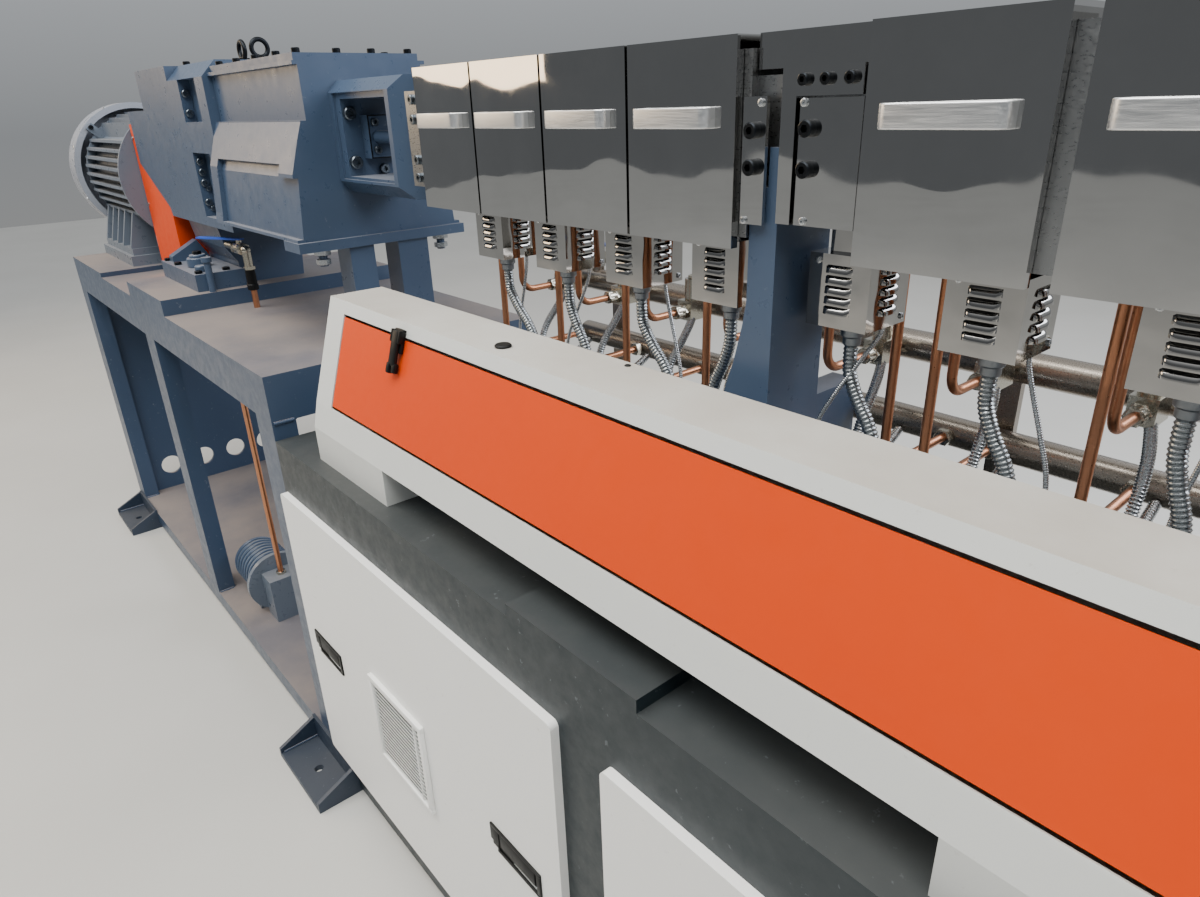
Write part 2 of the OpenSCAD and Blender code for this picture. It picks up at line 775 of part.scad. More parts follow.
module oil_valve() {
    color(bright) {
        rod_x([lower_x1, valve_x - 18], valve_y, valve_z, 9);
        rod_x([valve_x - 18, valve_x + 18], valve_y, valve_z, 16);
        rod_x([valve_x + 18, valve_drop_x], valve_y, valve_z, 11);
        translate([valve_drop_x, valve_y, valve_z]) sphere(r = 12);
        rod_z(valve_drop_x, valve_y, [valve_z - 60, valve_z], 11);
        rod_z(valve_x, valve_y, [valve_z + 14, valve_z + 22], 7);
    }
}

module oil_valve_lever() {
    color("#2a52b8")
        translate([valve_x, valve_y, valve_z + 22.3]) rotate([0, 0, lever_rest]) block([-12, lever_l], [-8, 8], [0, 4]);
}

pump_back = 792;
pump_x = step_x - pump_back;
pump_y = -195;
pump_h = 96;
pump_l = [90, 80];
pump_r = 70;

module oil_pump() {
    axis = shelf_z + pump_h;
    x1 = pump_x + pump_l[1];
    color("#8d99a3") {
        block([pump_x - 60, pump_x + 60], [pump_y - 60, pump_y + 60], [shelf_z, shelf_z + 16]);
        rod_x([pump_x - pump_l[0], x1], pump_y, axis, pump_r);
        rod_x([x1, x1 + 16], pump_y, axis, pump_r + 22);
        block([x1 + 16, x1 + 90], [pump_y - 48, pump_y + 48], [shelf_z, axis + 44]);
        block([pump_x - 40, pump_x + 30], [pump_y - 50, pump_y + 50], [shelf_z + 15, axis - 36]);
    }
}

pump_port_x = pump_x + pump_l[1] + 53;
pump_port_z = shelf_z + pump_h + 44;

module oil_pipes() {
    color(copper) {
        rod_z(valve_drop_x, valve_y, [drive_deck_z, valve_z - 60], 8);
        rod_z(pump_port_x, pump_y, [pump_port_z, drive_deck_z - deck_t], 8);
    }
}

// Barrel line

barrel_hw = 58;
throat_l = 70;
throat_w = 50;
throat_wall = 20;
throat_x = barrel_x0 + pitch / 2;
throat_z = cover_z1 - 1;
throat_hole_r = 4;
barrel_hh = 70;
flange_hw = 70;
flange_hh = 96;
flange_t = 16;
plate_hw = 79;
plate_hh = 76;

module barrel() {
    color(bright)
        difference() {
            union() {
                block([lantern_x1, barrel_x0], [-barrel_hw, barrel_hw], [axis_z - barrel_hh, axis_z + barrel_hh]);
                block([lantern_x1 + 7, barrel_x0], [-plate_hw, plate_hw], [axis_z - plate_hh, axis_z + plate_hh]);
                block([barrel_x0 - eps, barrel_x1], [-barrel_hw, barrel_hw], [axis_z - barrel_hh, axis_z + barrel_hh]);
                for (k = [0 : sections])
                    block([max(barrel_x0 + k * pitch - flange_t, barrel_x0 - eps),
                        min(barrel_x0 + k * pitch + flange_t, barrel_x1)],
                        [-flange_hw, flange_hw], [axis_z - flange_hh, axis_z + flange_hh]);
                block([throat_x - throat_l / 2 - throat_wall, throat_x + throat_l / 2 + throat_wall],
                    [-throat_w / 2 - throat_wall, throat_w / 2 + throat_wall], [axis_z, throat_z]);
            }
            block([throat_x - throat_l / 2, throat_x + throat_l / 2], [-throat_w / 2, throat_w / 2], [axis_z, throat_z + 1]);
            for (sx = [-1, 1], sy = [-1, 1])
                rod_z(throat_x + sx * (throat_l + throat_wall) / 2, sy * (throat_w + throat_wall) / 2,
                    [throat_z - 20, throat_z + 1], throat_hole_r);
        }
}

module cover_shell(k) {
    x = cover_x(k);
    difference() {
        block(x, [-cover_hw, cover_hw], [cover_z0, cover_z1]);
        block([x[0] + cover_t, x[1] - cover_t], [-cover_hw + cover_t, cover_hw - cover_t], [cover_z0 - 1, cover_z1 - cover_t]);
        block([x[0] - 1, x[1] + 1], [-flange_hw - 1, flange_hw + 1], [cover_z0 - 1, axis_z + flange_hh + 0.3]);
        block([tube_x(k) - tube_slot, tube_x(k) + tube_slot], [cover_hw - cover_t - 1, cover_hw + 1],
            [cover_z0 - 1, tube_top_z + tube_slot]);
    }
}

// The first covers stand a little apart, the next one sits tight behind the pillar's plates
function cover_x(k) =
    let (x = barrel_x0 + (k - 1) * pitch)
    let (x0 = k < pillar_section ? x + 3 + (k - 1) * 1.5 : (k == pillar_section + 1 ? x - 12 : x + 6))
    [x0, min(x0 + cover_l, barrel_x1)];

module left_covers() {
    color(bright)
        difference() {
            for (k = [1 : pillar_section - 1]) cover_shell(k);
            block([throat_x - throat_l / 2 - throat_wall - 1, throat_x + throat_l / 2 + throat_wall + 1],
                [-throat_w / 2 - throat_wall - 1, throat_w / 2 + throat_wall + 1], [axis_z + flange_hh, cover_z1 + 1]);
        }
}

module right_covers() {
    color(bright) for (k = [pillar_section + 1 : sections]) cover_shell(k);
}

handle_t = 3;
handle_r = 11;
handle_z = axis_z + 30;
handle_shift = -4;

arc_steps = 9;
function arc(c, r, a0, a1) = [
    for (k = [0 : arc_steps])
        let (a = a0 + (a1 - a0) * k / arc_steps)
        [c[0] + r * cos(a), c[1] + r * sin(a)]
];

// One leg, round the first bend, along the front, round the second bend and back
function bow_half(l, d, r) = concat(
    [[-l / 2, 0]], arc([-l / 2 + r, -d + r], r, 180, 270), arc([l / 2 - r, -d + r], r, 270, 360), [[l / 2, 0]]
);
function reversed(points) = [for (k = [len(points) - 1 : -1 : 0]) points[k]];

module cover_handles() {
    color("#d7dadd")
        for (k = [1 : sections])
            if (k != pillar_section)
                translate([(cover_x(k)[0] + cover_x(k)[1]) / 2 + handle_shift, -cover_hw, handle_z - handle_h / 2])
                    linear_extrude(handle_h) polygon(concat(
                        bow_half(handle_l, handle_out, handle_r),
                        reversed(bow_half(handle_l - 2 * handle_t, handle_out - handle_t, handle_r - handle_t))
                    ));
}

tbox_y0 = -20;
tbox_z0 = cover_z0 - tbox_h - 4;
function tbox_x(k) = barrel_x0 + (k - 0.5) * pitch + (k == pillar_section ? 22 : 12);

module terminal_boxes() {
    color(bright)
        for (k = [1 : sections]) {
            block([tbox_x(k) - tbox_w / 2, tbox_x(k) + tbox_w / 2], [tbox_y0, tbox_y0 + tbox_d], [tbox_z0, tbox_z0 + tbox_h]);
            block([tbox_x(k) - 20, tbox_x(k) + 20], [-10, 30], [tbox_z0 + tbox_h - eps, axis_z - barrel_hh]);
        }
}

function conduit_x(k) = barrel_x0 + (k - 0.5) * pitch - 2;

function on_pad(x) = len([for (p = pillar_starts) if (x > p - pad_before && x < p - pad_before + pillar_pad_l) p]) > 0;
function deck_under(x) = barrel_deck_z + (on_pad(x) ? pillar_pad_h : 0);

module wire_conduits() {
    color("#a9adb0")
        for (k = [1 : sections])
            rod_z(conduit_x(k), tbox_y0 + 30, [deck_under(conduit_x(k)), tbox_z0], conduit_r);
}

tube_bend = 26;
tube_y = 72;
tube_top_z = axis_z - 44;
tube_slot = 13;
tube_back_y = cover_hw + tube_r + 4;
tube_front_y = 48;

function section_x(k) = barrel_x0 + (k - 0.5) * pitch;
function by_pillar(k) = len([for (p = pillar_starts) if (abs(section_x(k) - p - 96) < 32) p]) > 0;
function tube_x(k) = section_x(k) - (by_pillar(k) ? 45 : 60);
function low_tube_x(k) = tube_x(k) + (by_pillar(k) ? 94 : 0);

// From the barrel's back, down behind the covers, and back to a valve on the upper manifold
module back_tube(x, y, z, y_end) {
    top_bend = y - barrel_hw - 2;
    rod_y(x, [barrel_hw, y - top_bend], tube_top_z, tube_r);
    bend_down(x, y, tube_top_z, top_bend, tube_r);
    rod_z(x, y, [z + tube_bend, tube_top_z - top_bend], tube_r);
    bend_back(x, y, z, tube_bend, tube_r);
    rod_y(x, [y + tube_bend, y_end], z, tube_r);
}

// From the barrel's underside down beside the terminal box and back to the lower manifold
module front_tube(x, y, z) {
    rod_z(x, y, [z + tube_bend, axis_z - barrel_hh], tube_r);
    bend_back(x, y, z, tube_bend, tube_r);
    rod_y(x, [y + tube_bend, stub_y], z, tube_r);
}

module water_tubes() {
    color(copper)
        for (k = [1 : sections]) {
            back_tube(tube_x(k), by_pillar(k) ? tube_y : tube_back_y, manifold_high_z, valve_block_y[0]);
            if (by_pillar(k)) back_tube(low_tube_x(k), tube_y, manifold_low_z, stub_y);
            else front_tube(low_tube_x(k), tube_front_y, manifold_low_z);
        }
}

manifold_x = [barrel_x0 + 20, barrel_x1 - 10];
manifold_stub = 6;
lever_valve_x = manifold_x[0] + 40;
stub_y = manifold_y - manifold_r - manifold_stub;
valve_block_y = [stub_y - 70, stub_y];
lever_valve_z = manifold_high_z + manifold_r + 38;

module water_manifolds() {
    color("#9a9c98") {
        for (z = [manifold_low_z, manifold_high_z])
            rod_x(manifold_x, manifold_y, z, manifold_r);
        for (k = [1 : sections], p = [[tube_x(k), manifold_high_z], [low_tube_x(k), manifold_low_z]])
            rod_y(p[0], [stub_y, manifold_y], p[1], tube_r + 4);
        rod_z(lever_valve_x, manifold_y, [manifold_high_z, lever_valve_z - 24], 12);
        for (x = [manifold_x[0] + 60, (manifold_x[0] + manifold_x[1]) / 2, manifold_x[1] - 40])
            block([x, x + 30], [manifold_y + manifold_r - 3, manifold_y + manifold_r + 10],
                [barrel_deck_z, manifold_high_z + 40]);
    }
}

module manifold_valves() {
    color("#c7a35a") {
        for (k = [1 : sections]) {
            block([tube_x(k) - 15, tube_x(k) + 15], [valve_block_y[0] + 22, valve_block_y[1]],
                [manifold_high_z - 16, manifold_high_z + 17]);
            rod_y(tube_x(k), [valve_block_y[0], valve_block_y[0] + 23], manifold_high_z, tube_r + 5);
            rod_z(tube_x(k), valve_block_y[0] + 42, [manifold_high_z + 16, manifold_high_z + 52], 13);
        }
        rod_x([lever_valve_x - 24, lever_valve_x + 24], manifold_y, lever_valve_z - 12, 12);
        rod_z(lever_valve_x, manifold_y, [lever_valve_z - 12, lever_valve_z + 10], 6);
    }
}

module water_valve_lever() {
    z = lever_valve_z + 10.3;
    color("#2a52b8")
        block([lever_valve_x - 8, lever_valve_x + 90], [manifold_y - 8, manifold_y + 8], [z, z + 4]);
}

pillar_y = [-66, 35];
pillar_web_y = 125;
pillar_top_z = axis_z - barrel_hh - 0.3;
ear_in = barrel_hw + 0.4;

module barrel_pillar(x) {
    z0 = barrel_deck_z + pillar_pad_h;
    left = x + 17;
    right = x + 55;
    difference() {
        union() {
            along_y(pillar_y, [
                [left - 94, z0], [right, z0], [right, pillar_top_z], [left, pillar_top_z],
                [left, z0 + 382], [left - 5, z0 + 351], [left - 16, z0 + 306], [left - 31, z0 + 259], [left - 60, z0 + 140]
            ]);
            along_y([pillar_y[0], -ear_in], [
                [left, pillar_top_z - 1], [right, pillar_top_z - 1], [right, axis_z], [right - 14, axis_z],
                [right - 14, axis_z - 41], [left, axis_z - 41]
            ]);
            block([left, right], [pillar_y[1] - 1, pillar_web_y], [z0, z0 + 251]);
        }
        rod_y(x + 34, [pillar_y[0] - 1, -ear_in + 1], axis_z - 60, 4.5);
    }
}

module barrel_pillars() {
    color(base_blue) for (x = pillar_starts) barrel_pillar(x);
}

// Bright plates and the clamp ring where the barrel shows over the pillar
module pillar_flange() {
    x = pillar_x;
    color(bright) {
        block([x + 10, x + 41], [-75, -flange_hw - 0.2], [axis_z - 80, axis_z + 50]);
        difference() {
            union() {
                block([x + 60, x + 78], [-plate_hh, plate_hh], [axis_z - plate_hh, axis_z + plate_hh]);
                block([x + 77, x + 153], [-plate_hh, plate_hh], [axis_z + 49, axis_z + plate_hh]);
                block([x + 82, x + 154], [-plate_hh + 2, 0], [axis_z - plate_hh, axis_z + 47]);
                block([x + 18, x + 155], [-62, cover_hw], [axis_z + plate_hh - 0.5, cover_z1]);
                block([x + 18, x + 155], [cover_hw - 3, cover_hw], [axis_z - 20, cover_z1 - 1]);
            }
            block([x, x + 172], [-barrel_hw, barrel_hw], [axis_z - barrel_hh, axis_z + barrel_hh]);
            block([x + 79, x + 172], [-barrel_hw, barrel_hw], [axis_z - plate_hh - 1, axis_z]);
        }
    }
}

die_r = 78;
die_bolts = 8;
die_bolt_pcd = 126;
die_bore_r = screw_d / 2;

module die_adapter() {
    color(bright)
        difference() {
            rod_x([barrel_x1, barrel_x1 + die_l], 0, axis_z, die_r);
            rod_x([barrel_x1 + 8, barrel_x1 + die_l + 1], 0, axis_z, die_bore_r);
            for (k = [0 : die_bolts - 1])
                rotate_bolt(k) rod_x([barrel_x1 + die_l - 25, barrel_x1 + die_l + 1], 0, 0, 6);
        }
}

module rotate_bolt(k) {
    a = (k + 0.5) * 360 / die_bolts;
    translate([0, die_bolt_pcd / 2 * cos(a), axis_z + die_bolt_pcd / 2 * sin(a)]) children();
}

gear_deck();
base_legs();
base_end_wall();
base_shelf();
foot_brackets();
barrel_cabinet();
front_panels();
rear_panels();
panel_latches();
air_grilles();
duct_body();
duct_feet();
duct_cover();
duct_latches();
motor_body();
motor_cowl();
motor_feet();
coupling_guard();
shaft_coupling();
gearbox_adapter();
gearbox_lower();
gearbox_flange();
gearbox_upper();
gearbox_lid();
eyebolts();
lantern();
lantern_seal();
gearbox_stand();
oil_filter();
oil_valve();
oil_valve_lever();
oil_pump();
oil_pipes();
barrel();
left_covers();
right_covers();
cover_handles();
terminal_boxes();
wire_conduits();
water_tubes();
water_manifolds();
manifold_valves();
water_valve_lever();
barrel_pillars();
pillar_flange();
die_adapter();
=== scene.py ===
import math
import bmesh
import bpy
from mathutils import Matrix, Vector


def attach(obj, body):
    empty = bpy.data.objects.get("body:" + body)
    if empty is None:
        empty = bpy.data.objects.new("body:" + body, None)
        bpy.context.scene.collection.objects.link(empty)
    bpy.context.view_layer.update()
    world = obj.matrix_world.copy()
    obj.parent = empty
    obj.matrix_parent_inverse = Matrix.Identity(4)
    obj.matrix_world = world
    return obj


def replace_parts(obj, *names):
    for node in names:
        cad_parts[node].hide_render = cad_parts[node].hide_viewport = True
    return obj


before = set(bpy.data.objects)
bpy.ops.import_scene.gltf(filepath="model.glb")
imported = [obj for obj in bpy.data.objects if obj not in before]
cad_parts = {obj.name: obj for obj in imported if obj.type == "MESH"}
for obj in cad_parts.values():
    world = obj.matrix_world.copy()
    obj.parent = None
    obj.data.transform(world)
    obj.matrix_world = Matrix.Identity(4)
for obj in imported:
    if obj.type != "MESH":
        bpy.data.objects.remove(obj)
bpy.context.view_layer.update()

# Studio. The camera stands beside the line, 1.5 m up, with a phone's wide lens. The floor is
# plain sealed concrete, the light a large soft ceiling.
camera = bpy.data.objects.new("camera", bpy.data.cameras.new("camera"))
camera.data.lens = 24.03
camera.data.sensor_width = 36.0
camera.location = (1.629, -0.794, 1.500)
camera.rotation_euler = (math.radians(66.585), math.radians(1.767), math.radians(49.299))
bpy.context.scene.collection.objects.link(camera)
bpy.context.scene.camera = camera


def rgb(code):
    """A sRGB hex colour as Blender's linear RGBA."""
    parts = [int(code[i:i + 2], 16) / 255 for i in (1, 3, 5)]
    return [p / 12.92 if p <= 0.04045 else ((p + 0.055) / 1.055) ** 2.4 for p in parts] + [1.0]


def feed(socket, value):
    """Gives an input its value, a link to a socket, or a link to a node's first output."""
    if isinstance(value, bpy.types.Node):
        value = next(s for s in value.outputs if s.enabled)
    if isinstance(value, bpy.types.NodeSocket):
        socket.id_data.links.new(value, socket)
    else:
        socket.default_value = value


def add(tree, kind, settings=None, **inputs):
    """Adds a node to a tree, sets it and feeds its inputs by name."""
    made = tree.nodes.new(kind)
    for name, value in (settings or {}).items():
        setattr(made, name, value)
    for name, value in inputs.items():
        named = (s for s in made.inputs if s.enabled and name in (s.identifier, s.name.replace(" ", "_")))
        feed(next(named), value)
    return made


def calc(tree, operation, *values):
    """A math node on up to three values."""
    inputs = dict(zip(("Value", "Value_001", "Value_002"), values))
    return add(tree, "ShaderNodeMath", {"operation": operation}, **inputs)


def remap(tree, value, from_min, from_max, to_min=0.0, to_max=1.0):
    """Carries one range of values over to another and holds it at both ends."""
    return add(tree, "ShaderNodeMapRange", Value=value, From_Min=from_min, From_Max=from_max,
               To_Min=to_min, To_Max=to_max)


def blend(tree, share, low, high):
    """A colour between two others."""
    return add(tree, "ShaderNodeMix", {"data_type": "RGBA"}, Factor=share, A=low, B=high)


def noise(tree, place, scale, detail, roughness=0.5):
    """Soft random patches; a scale of n makes them some 1/n metres wide."""
    return add(tree, "ShaderNodeTexNoise", Vector=place, Scale=scale, Detail=detail, Roughness=roughness)


def finish_named(name):
    """An empty material for a real finish: its tree, its Object coordinates and its shader."""
    made = bpy.data.materials.new(name)
    made.use_nodes = True
    tree = made.node_tree
    return made, tree, add(tree, "ShaderNodeTexCoord").outputs["Object"], tree.nodes["Principled BSDF"]


# Pale and clouded like a swept workshop floor, dull enough to hold only a soft shadow.
floor_concrete, tree, place, shader = finish_named("floor_sealed_concrete")
feed(shader.inputs["Base Color"], blend(tree, noise(tree, place, 1.4, 5.0), rgb("#b9b8b3"), rgb("#c9c8c4")))
feed(shader.inputs["Roughness"], 0.5)

reach = 14
floor = bpy.data.objects.new("floor", bpy.data.meshes.new("floor"))
corners = [(-reach, -reach, 0), (reach, -reach, 0), (reach, reach, 0), (-reach, reach, 0)]
floor.data.from_pydata(corners, [], [(0, 1, 2, 3)])
floor.data.materials.append(floor_concrete)
bpy.context.scene.collection.objects.link(floor)

# The room is grey low down and near white overhead. Behind the camera it is darker near the
# horizon, which the mirror covers show.
world = bpy.data.worlds.new("studio")
world.use_nodes = True
bpy.context.scene.world = world
tree = world.node_tree
sight = add(tree, "ShaderNodeTexCoord").outputs["Generated"]
direction = add(tree, "ShaderNodeSeparateXYZ", Vector=sight).outputs
ramp = add(tree, "ShaderNodeValToRGB", Fac=remap(tree, direction["Z"], -0.3, 0.8))
ramp.color_ramp.elements[0].color = rgb("#a5a29c")
ramp.color_ramp.elements[1].color = rgb("#f4f6f8")
for spot, code in ((0.26, "#989b9e"), (0.44, "#c6cace")):
    ramp.color_ramp.elements.new(spot).color = rgb(code)
behind = remap(tree, direction["Y"], 0.05, -0.6)
low_down = remap(tree, calc(tree, "ABSOLUTE", direction["Z"]), 0.6, 0.1)
room = blend(tree, calc(tree, "MULTIPLY", behind, low_down), ramp, rgb("#707376"))
feed(tree.nodes["Background"].inputs["Color"], room)
feed(tree.nodes["Background"].inputs["Strength"], 0.8)

for name, stand, aim, size, power, tint in (
        ("ceiling_bank", (0.5, -1.6, 4.6), (0, 0, 1), (6.0, 2.2), 340, "#fbfaf6"),
        ("rear_bank", (2.8, 3.0, 3.4), (0, 0, 1), (5.0, 1.8), 190, "#eef4ff"),
        ("warm_side", (-4.6, -2.6, 2.8), (-1, 0, 1), (2.4, 2.4), 90, "#ffe3bd")):
    lamp = bpy.data.objects.new(name, bpy.data.lights.new(name, "AREA"))
    lamp.data.shape = "RECTANGLE"
    lamp.data.size, lamp.data.size_y = size
    lamp.data.energy = power
    lamp.data.color = rgb(tint)[:3]
    lamp.location = stand
    lamp.rotation_euler = (Vector(aim) - Vector(stand)).to_track_quat("-Z", "Y").to_euler()
    bpy.context.scene.collection.objects.link(lamp)

# Welded base. Boxed steel sections and plate, sprayed with semi-gloss machine enamel over the
# welds. The skin has orange peel, dust lies on every face that looks up, and feet are scuffed.


def skin_over(shader, colour, gloss, bump):
    """Feeds a finish's colour, roughness and relief to its shader."""
    for value, socket in ((colour, "Base Color"), (gloss, "Roughness"), (bump, "Normal")):
        feed(shader.inputs[socket], value)


def enamel(name, low, high, rough, peel=0.0016,
           dust=0.0, dust_code="#a99e8f", scuff=0.0, scuff_code="#8f979d"):
    """Paint on metal: clouded tone, orange peel of a real width in metres, settled dust and small rubs."""
    made, tree, place, shader = finish_named(name)
    # Clouds 40 cm wide in the tone, patches of 3 cm in the gloss, rubs of 15 mm.
    cloud = noise(tree, place, 2.6, 6.0, 0.6)
    film = noise(tree, place, 34.0, 4.0, 0.7)
    colour = blend(tree, cloud, rgb(low), rgb(high))
    gloss = remap(tree, film, 0.3, 0.7, rough - 0.06, rough + 0.1)
    if scuff:
        rubs = remap(tree, noise(tree, place, 62.0, 3.0, 0.75), 0.66, 0.72, 0.0, scuff)
        colour = blend(tree, rubs, colour, rgb(scuff_code))
    if dust:
        # It lies only where a face looks up, thicker in the lighter clouds, and is quite dull.
        normal = add(tree, "ShaderNodeNewGeometry").outputs["Normal"]
        up = add(tree, "ShaderNodeSeparateXYZ", Vector=normal).outputs["Z"]
        level = remap(tree, up, 0.86, 0.99, 0.0, dust)
        patches = remap(tree, cloud, 0.35, 0.6, 0.55, 1.0)
        settled = calc(tree, "MULTIPLY", level, patches)
        colour = blend(tree, settled, colour, rgb(dust_code))
        gloss = add(tree, "ShaderNodeMix", Factor=settled, A=gloss, B=0.78)
    dimples = noise(tree, place, 1.0 / peel, 1.0)
    bump = add(tree, "ShaderNodeBump", Strength=0.2, Distance=peel / 10, Height=dimples)
    skin_over(shader, colour, gloss, bump)
    return made


def dress(material, *names):
    """Gives CAD nodes their finish."""
    for name in names:
        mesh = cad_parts[name].data
        mesh.materials.clear()
        mesh.materials.append(material)


# A softly shining blue-grey; the decks look brown where dust and oil have settled.
blue_enamel = enamel("blue_grey_machine_enamel", "#2f3f55", "#3b4c64", 0.34,
                     dust=0.65, dust_code="#9a8b7e", scuff=0.35)
# Almost black with a trace of green, so the cabinet is one dark block between white panels.
dark_enamel = enamel("dark_sea_green_enamel", "#101d23", "#17262c", 0.44,
                     dust=0.4, dust_code="#5e5c58", scuff=0.25)
# The base's paint again, duller and darker, on the foot brackets near the floor.
foot_enamel = enamel("blue_grey_enamel_near_the_floor", "#243040", "#2c394a", 0.44,
                     dust=0.25, dust_code="#5e584f", scuff=0.35)
dress(blue_enamel, "gear_deck", "base_legs", "base_end_wall", "base_shelf")
dress(foot_enamel, "foot_brackets")
dress(dark_enamel, "barrel_cabinet")

# Fillet welds. They run along the legs' feet and heads and along each foot's gussets: a
# rippled bead 7 to 9 mm wide, laid by hand and painted with the base.


def settle(name, seed, tree, body, sharp, values):
    """Sets a tree's inputs by their sockets, runs it on a seed mesh and keeps the plain mesh."""
    made = bpy.data.objects.new(name, seed)
    bpy.context.scene.collection.objects.link(made)
    modifier = made.modifiers.new("tree", "NODES")
    modifier.node_group = tree
    for socket in tree.interface.items_tree:
        if socket.in_out == "INPUT" and socket.name.replace(" ", "_") in values:
            modifier[socket.identifier] = values[socket.name.replace(" ", "_")]
    shown = made.evaluated_get(bpy.context.evaluated_depsgraph_get())
    mesh = bpy.data.meshes.new_from_object(shown)
    made.modifiers.remove(modifier)
    made.data = mesh
    mesh.name = name
    mesh.shade_smooth()
    mesh.set_sharp_from_angle(angle=math.radians(sharp))
    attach(made, body)
    return made


def open_tree(name, taken, made, **sizes):
    """Starts a geometry tree: what it takes, what it makes, and its sizes as named inputs."""
    tree = bpy.data.node_groups.new(name, "GeometryNodeTree")
    tree.interface.new_socket(taken, in_out="INPUT", socket_type="NodeSocketGeometry")
    for label, value in sizes.items():
        kind = "NodeSocketInt" if isinstance(value, int) else "NodeSocketFloat"
        socket = tree.interface.new_socket(label.replace("_", " "), in_out="INPUT", socket_type=kind)
        socket.default_value = value
    tree.interface.new_socket(made, in_out="OUTPUT", socket_type="NodeSocketGeometry")
    return tree, add(tree, "NodeGroupInput").outputs


def close_tree(tree, shape, finish, made):
    """Ends a geometry tree: instances made real, then their finish."""
    real = add(tree, "GeometryNodeRealizeInstances", Geometry=shape)
    done = add(tree, "GeometryNodeSetMaterial", Geometry=real, Material=finish)
    feed(add(tree, "NodeGroupOutput").inputs[made], done)
    return tree


def tube_tree(name, finish):
    """Tubes along paths: a smooth curve through the points, with rings pressed into its skin."""
    tree, given = open_tree(name, "Paths", "Tubes", Radius=0.008, Ring_pitch=0.005, Ring_depth=0.09,
                            Step=0.00125, Sides=14)
    line = add(tree, "GeometryNodeMeshToCurve", Mesh=given["Paths"])
    soft = add(tree, "GeometryNodeCurveSplineType", {"spline_type": "CATMULL_ROM"}, Curve=line)
    fine = add(tree, "GeometryNodeResampleCurve", {"mode": "LENGTH"}, Curve=soft, Length=given["Step"])
    along = add(tree, "GeometryNodeSplineParameter").outputs["Length"]
    turns = calc(tree, "DIVIDE", along, given["Ring pitch"])
    ring = calc(tree, "SINE", calc(tree, "MULTIPLY", turns, math.tau))
    swell = calc(tree, "MULTIPLY_ADD", ring, given["Ring depth"], 1.0)
    circle = add(tree, "GeometryNodeCurvePrimitiveCircle", Resolution=given["Sides"], Radius=given["Radius"])
    skin = add(tree, "GeometryNodeCurveToMesh", Curve=fine, Profile_Curve=circle, Scale=swell,
               Fill_Caps=True)
    return close_tree(tree, skin, finish, "Tubes")


def lay(name, tree, paths, body="root", slot=None, sharp=60, **values):
    """Runs a tree on open paths given in mm and keeps its result as a plain mesh piece."""
    points = [Vector(p) / 1000 for path in paths for p in path]
    edges, start = [], 0
    for path in paths:
        edges += [(start + i, start + i + 1) for i in range(len(path) - 1)]
        start += len(path)
    seed = bpy.data.meshes.new(name)
    seed.from_pydata(points, edges, [])
    return settle(name, seed, tree, body, sharp, values)


weld_bead = tube_tree("weld_beads", blue_enamel)
shelf_top, deck_underside, bracket_top = 66, 917, 17
leg_width, leg_outer, leg_inner, bracket_width = 95, 322, 280, 245
leg_seams, foot_seams = [], []
for leg_x in (-1933, -987, -63):
    for side in (-1, 1):
        for z in (shelf_top, deck_underside):
            leg_seams += [[(x, side * leg_outer, z), (x, side * leg_inner, z)]
                          for x in (leg_x, leg_x + leg_width)]
            inner = side * (leg_inner - 4)
            leg_seams.append([(leg_x + 4, inner, z), (leg_x + leg_width - 4, inner, z)])
for foot_x in (-1908, -110.5, 1808):
    foot_seams += [[(x, side * 333, bracket_top), (x, side * 420, bracket_top - 1)]
                   for side in (-1, 1) for x in (foot_x + 10, foot_x + bracket_width - 10)]
ripple = {"Ring_pitch": 0.006, "Ring_depth": 0.1, "Step": 0.0015, "Sides": 8}
lay("leg_welds", weld_bead, leg_seams, Radius=0.0042, **ripple)
lay("gusset_welds", weld_bead, foot_seams, Radius=0.0033, **ripple)

# Cap screws and hexagon bolts. All are steel: black oxide on most, bright zinc on the thin
# plates, dull zinc flake on the gearbox's ribs, the lantern and the barrel flanges. One tree
# turns points, each with its facing and head radius, into real heads with driving sockets.


def metal(name, low, high, rough, streak=(90.0, 90.0, 90.0), cut=0.12, stain=0.0, stain_code="#5d4a3c"):
    """Bare or plated metal: tone, streaks of the tool that made it, uneven gloss and some staining."""
    made, tree, place, shader = finish_named(name)
    feed(shader.inputs["Metallic"], 1.0)
    # Clouds 11 cm wide in the tone; the tool's fine marks show in gloss and relief alike.
    cloud = noise(tree, place, 9.0, 5.0, 0.65)
    colour = blend(tree, cloud, rgb(low), rgb(high))
    if stain:
        colour = blend(tree, remap(tree, cloud, 0.56, 0.7, 0.0, stain), colour, rgb(stain_code))
    grain = noise(tree, add(tree, "ShaderNodeMapping", Vector=place, Scale=streak), 6.0, 2.0)
    gloss = remap(tree, grain, 0.3, 0.7, max(0.02, rough - 0.07), rough + 0.08)
    bump = add(tree, "ShaderNodeBump", Strength=cut, Distance=0.0004, Height=grain)
    skin_over(shader, colour, gloss, bump)
    return made


def place_on_points(tree, given, shape, **placing):
    """Sets a shape on every point that the tree is given."""
    return add(tree, "GeometryNodeInstanceOnPoints", Points=given["Points"], Instance=shape, **placing)


def look_along_facing(tree):
    """The turn that brings a shape's Z to each point's facing."""
    facing = add(tree, "GeometryNodeInputNamedAttribute", {"data_type": "FLOAT_VECTOR"}, Name="facing")
    return add(tree, "FunctionNodeAlignRotationToVector", {"axis": "Z"}, Vector=facing)


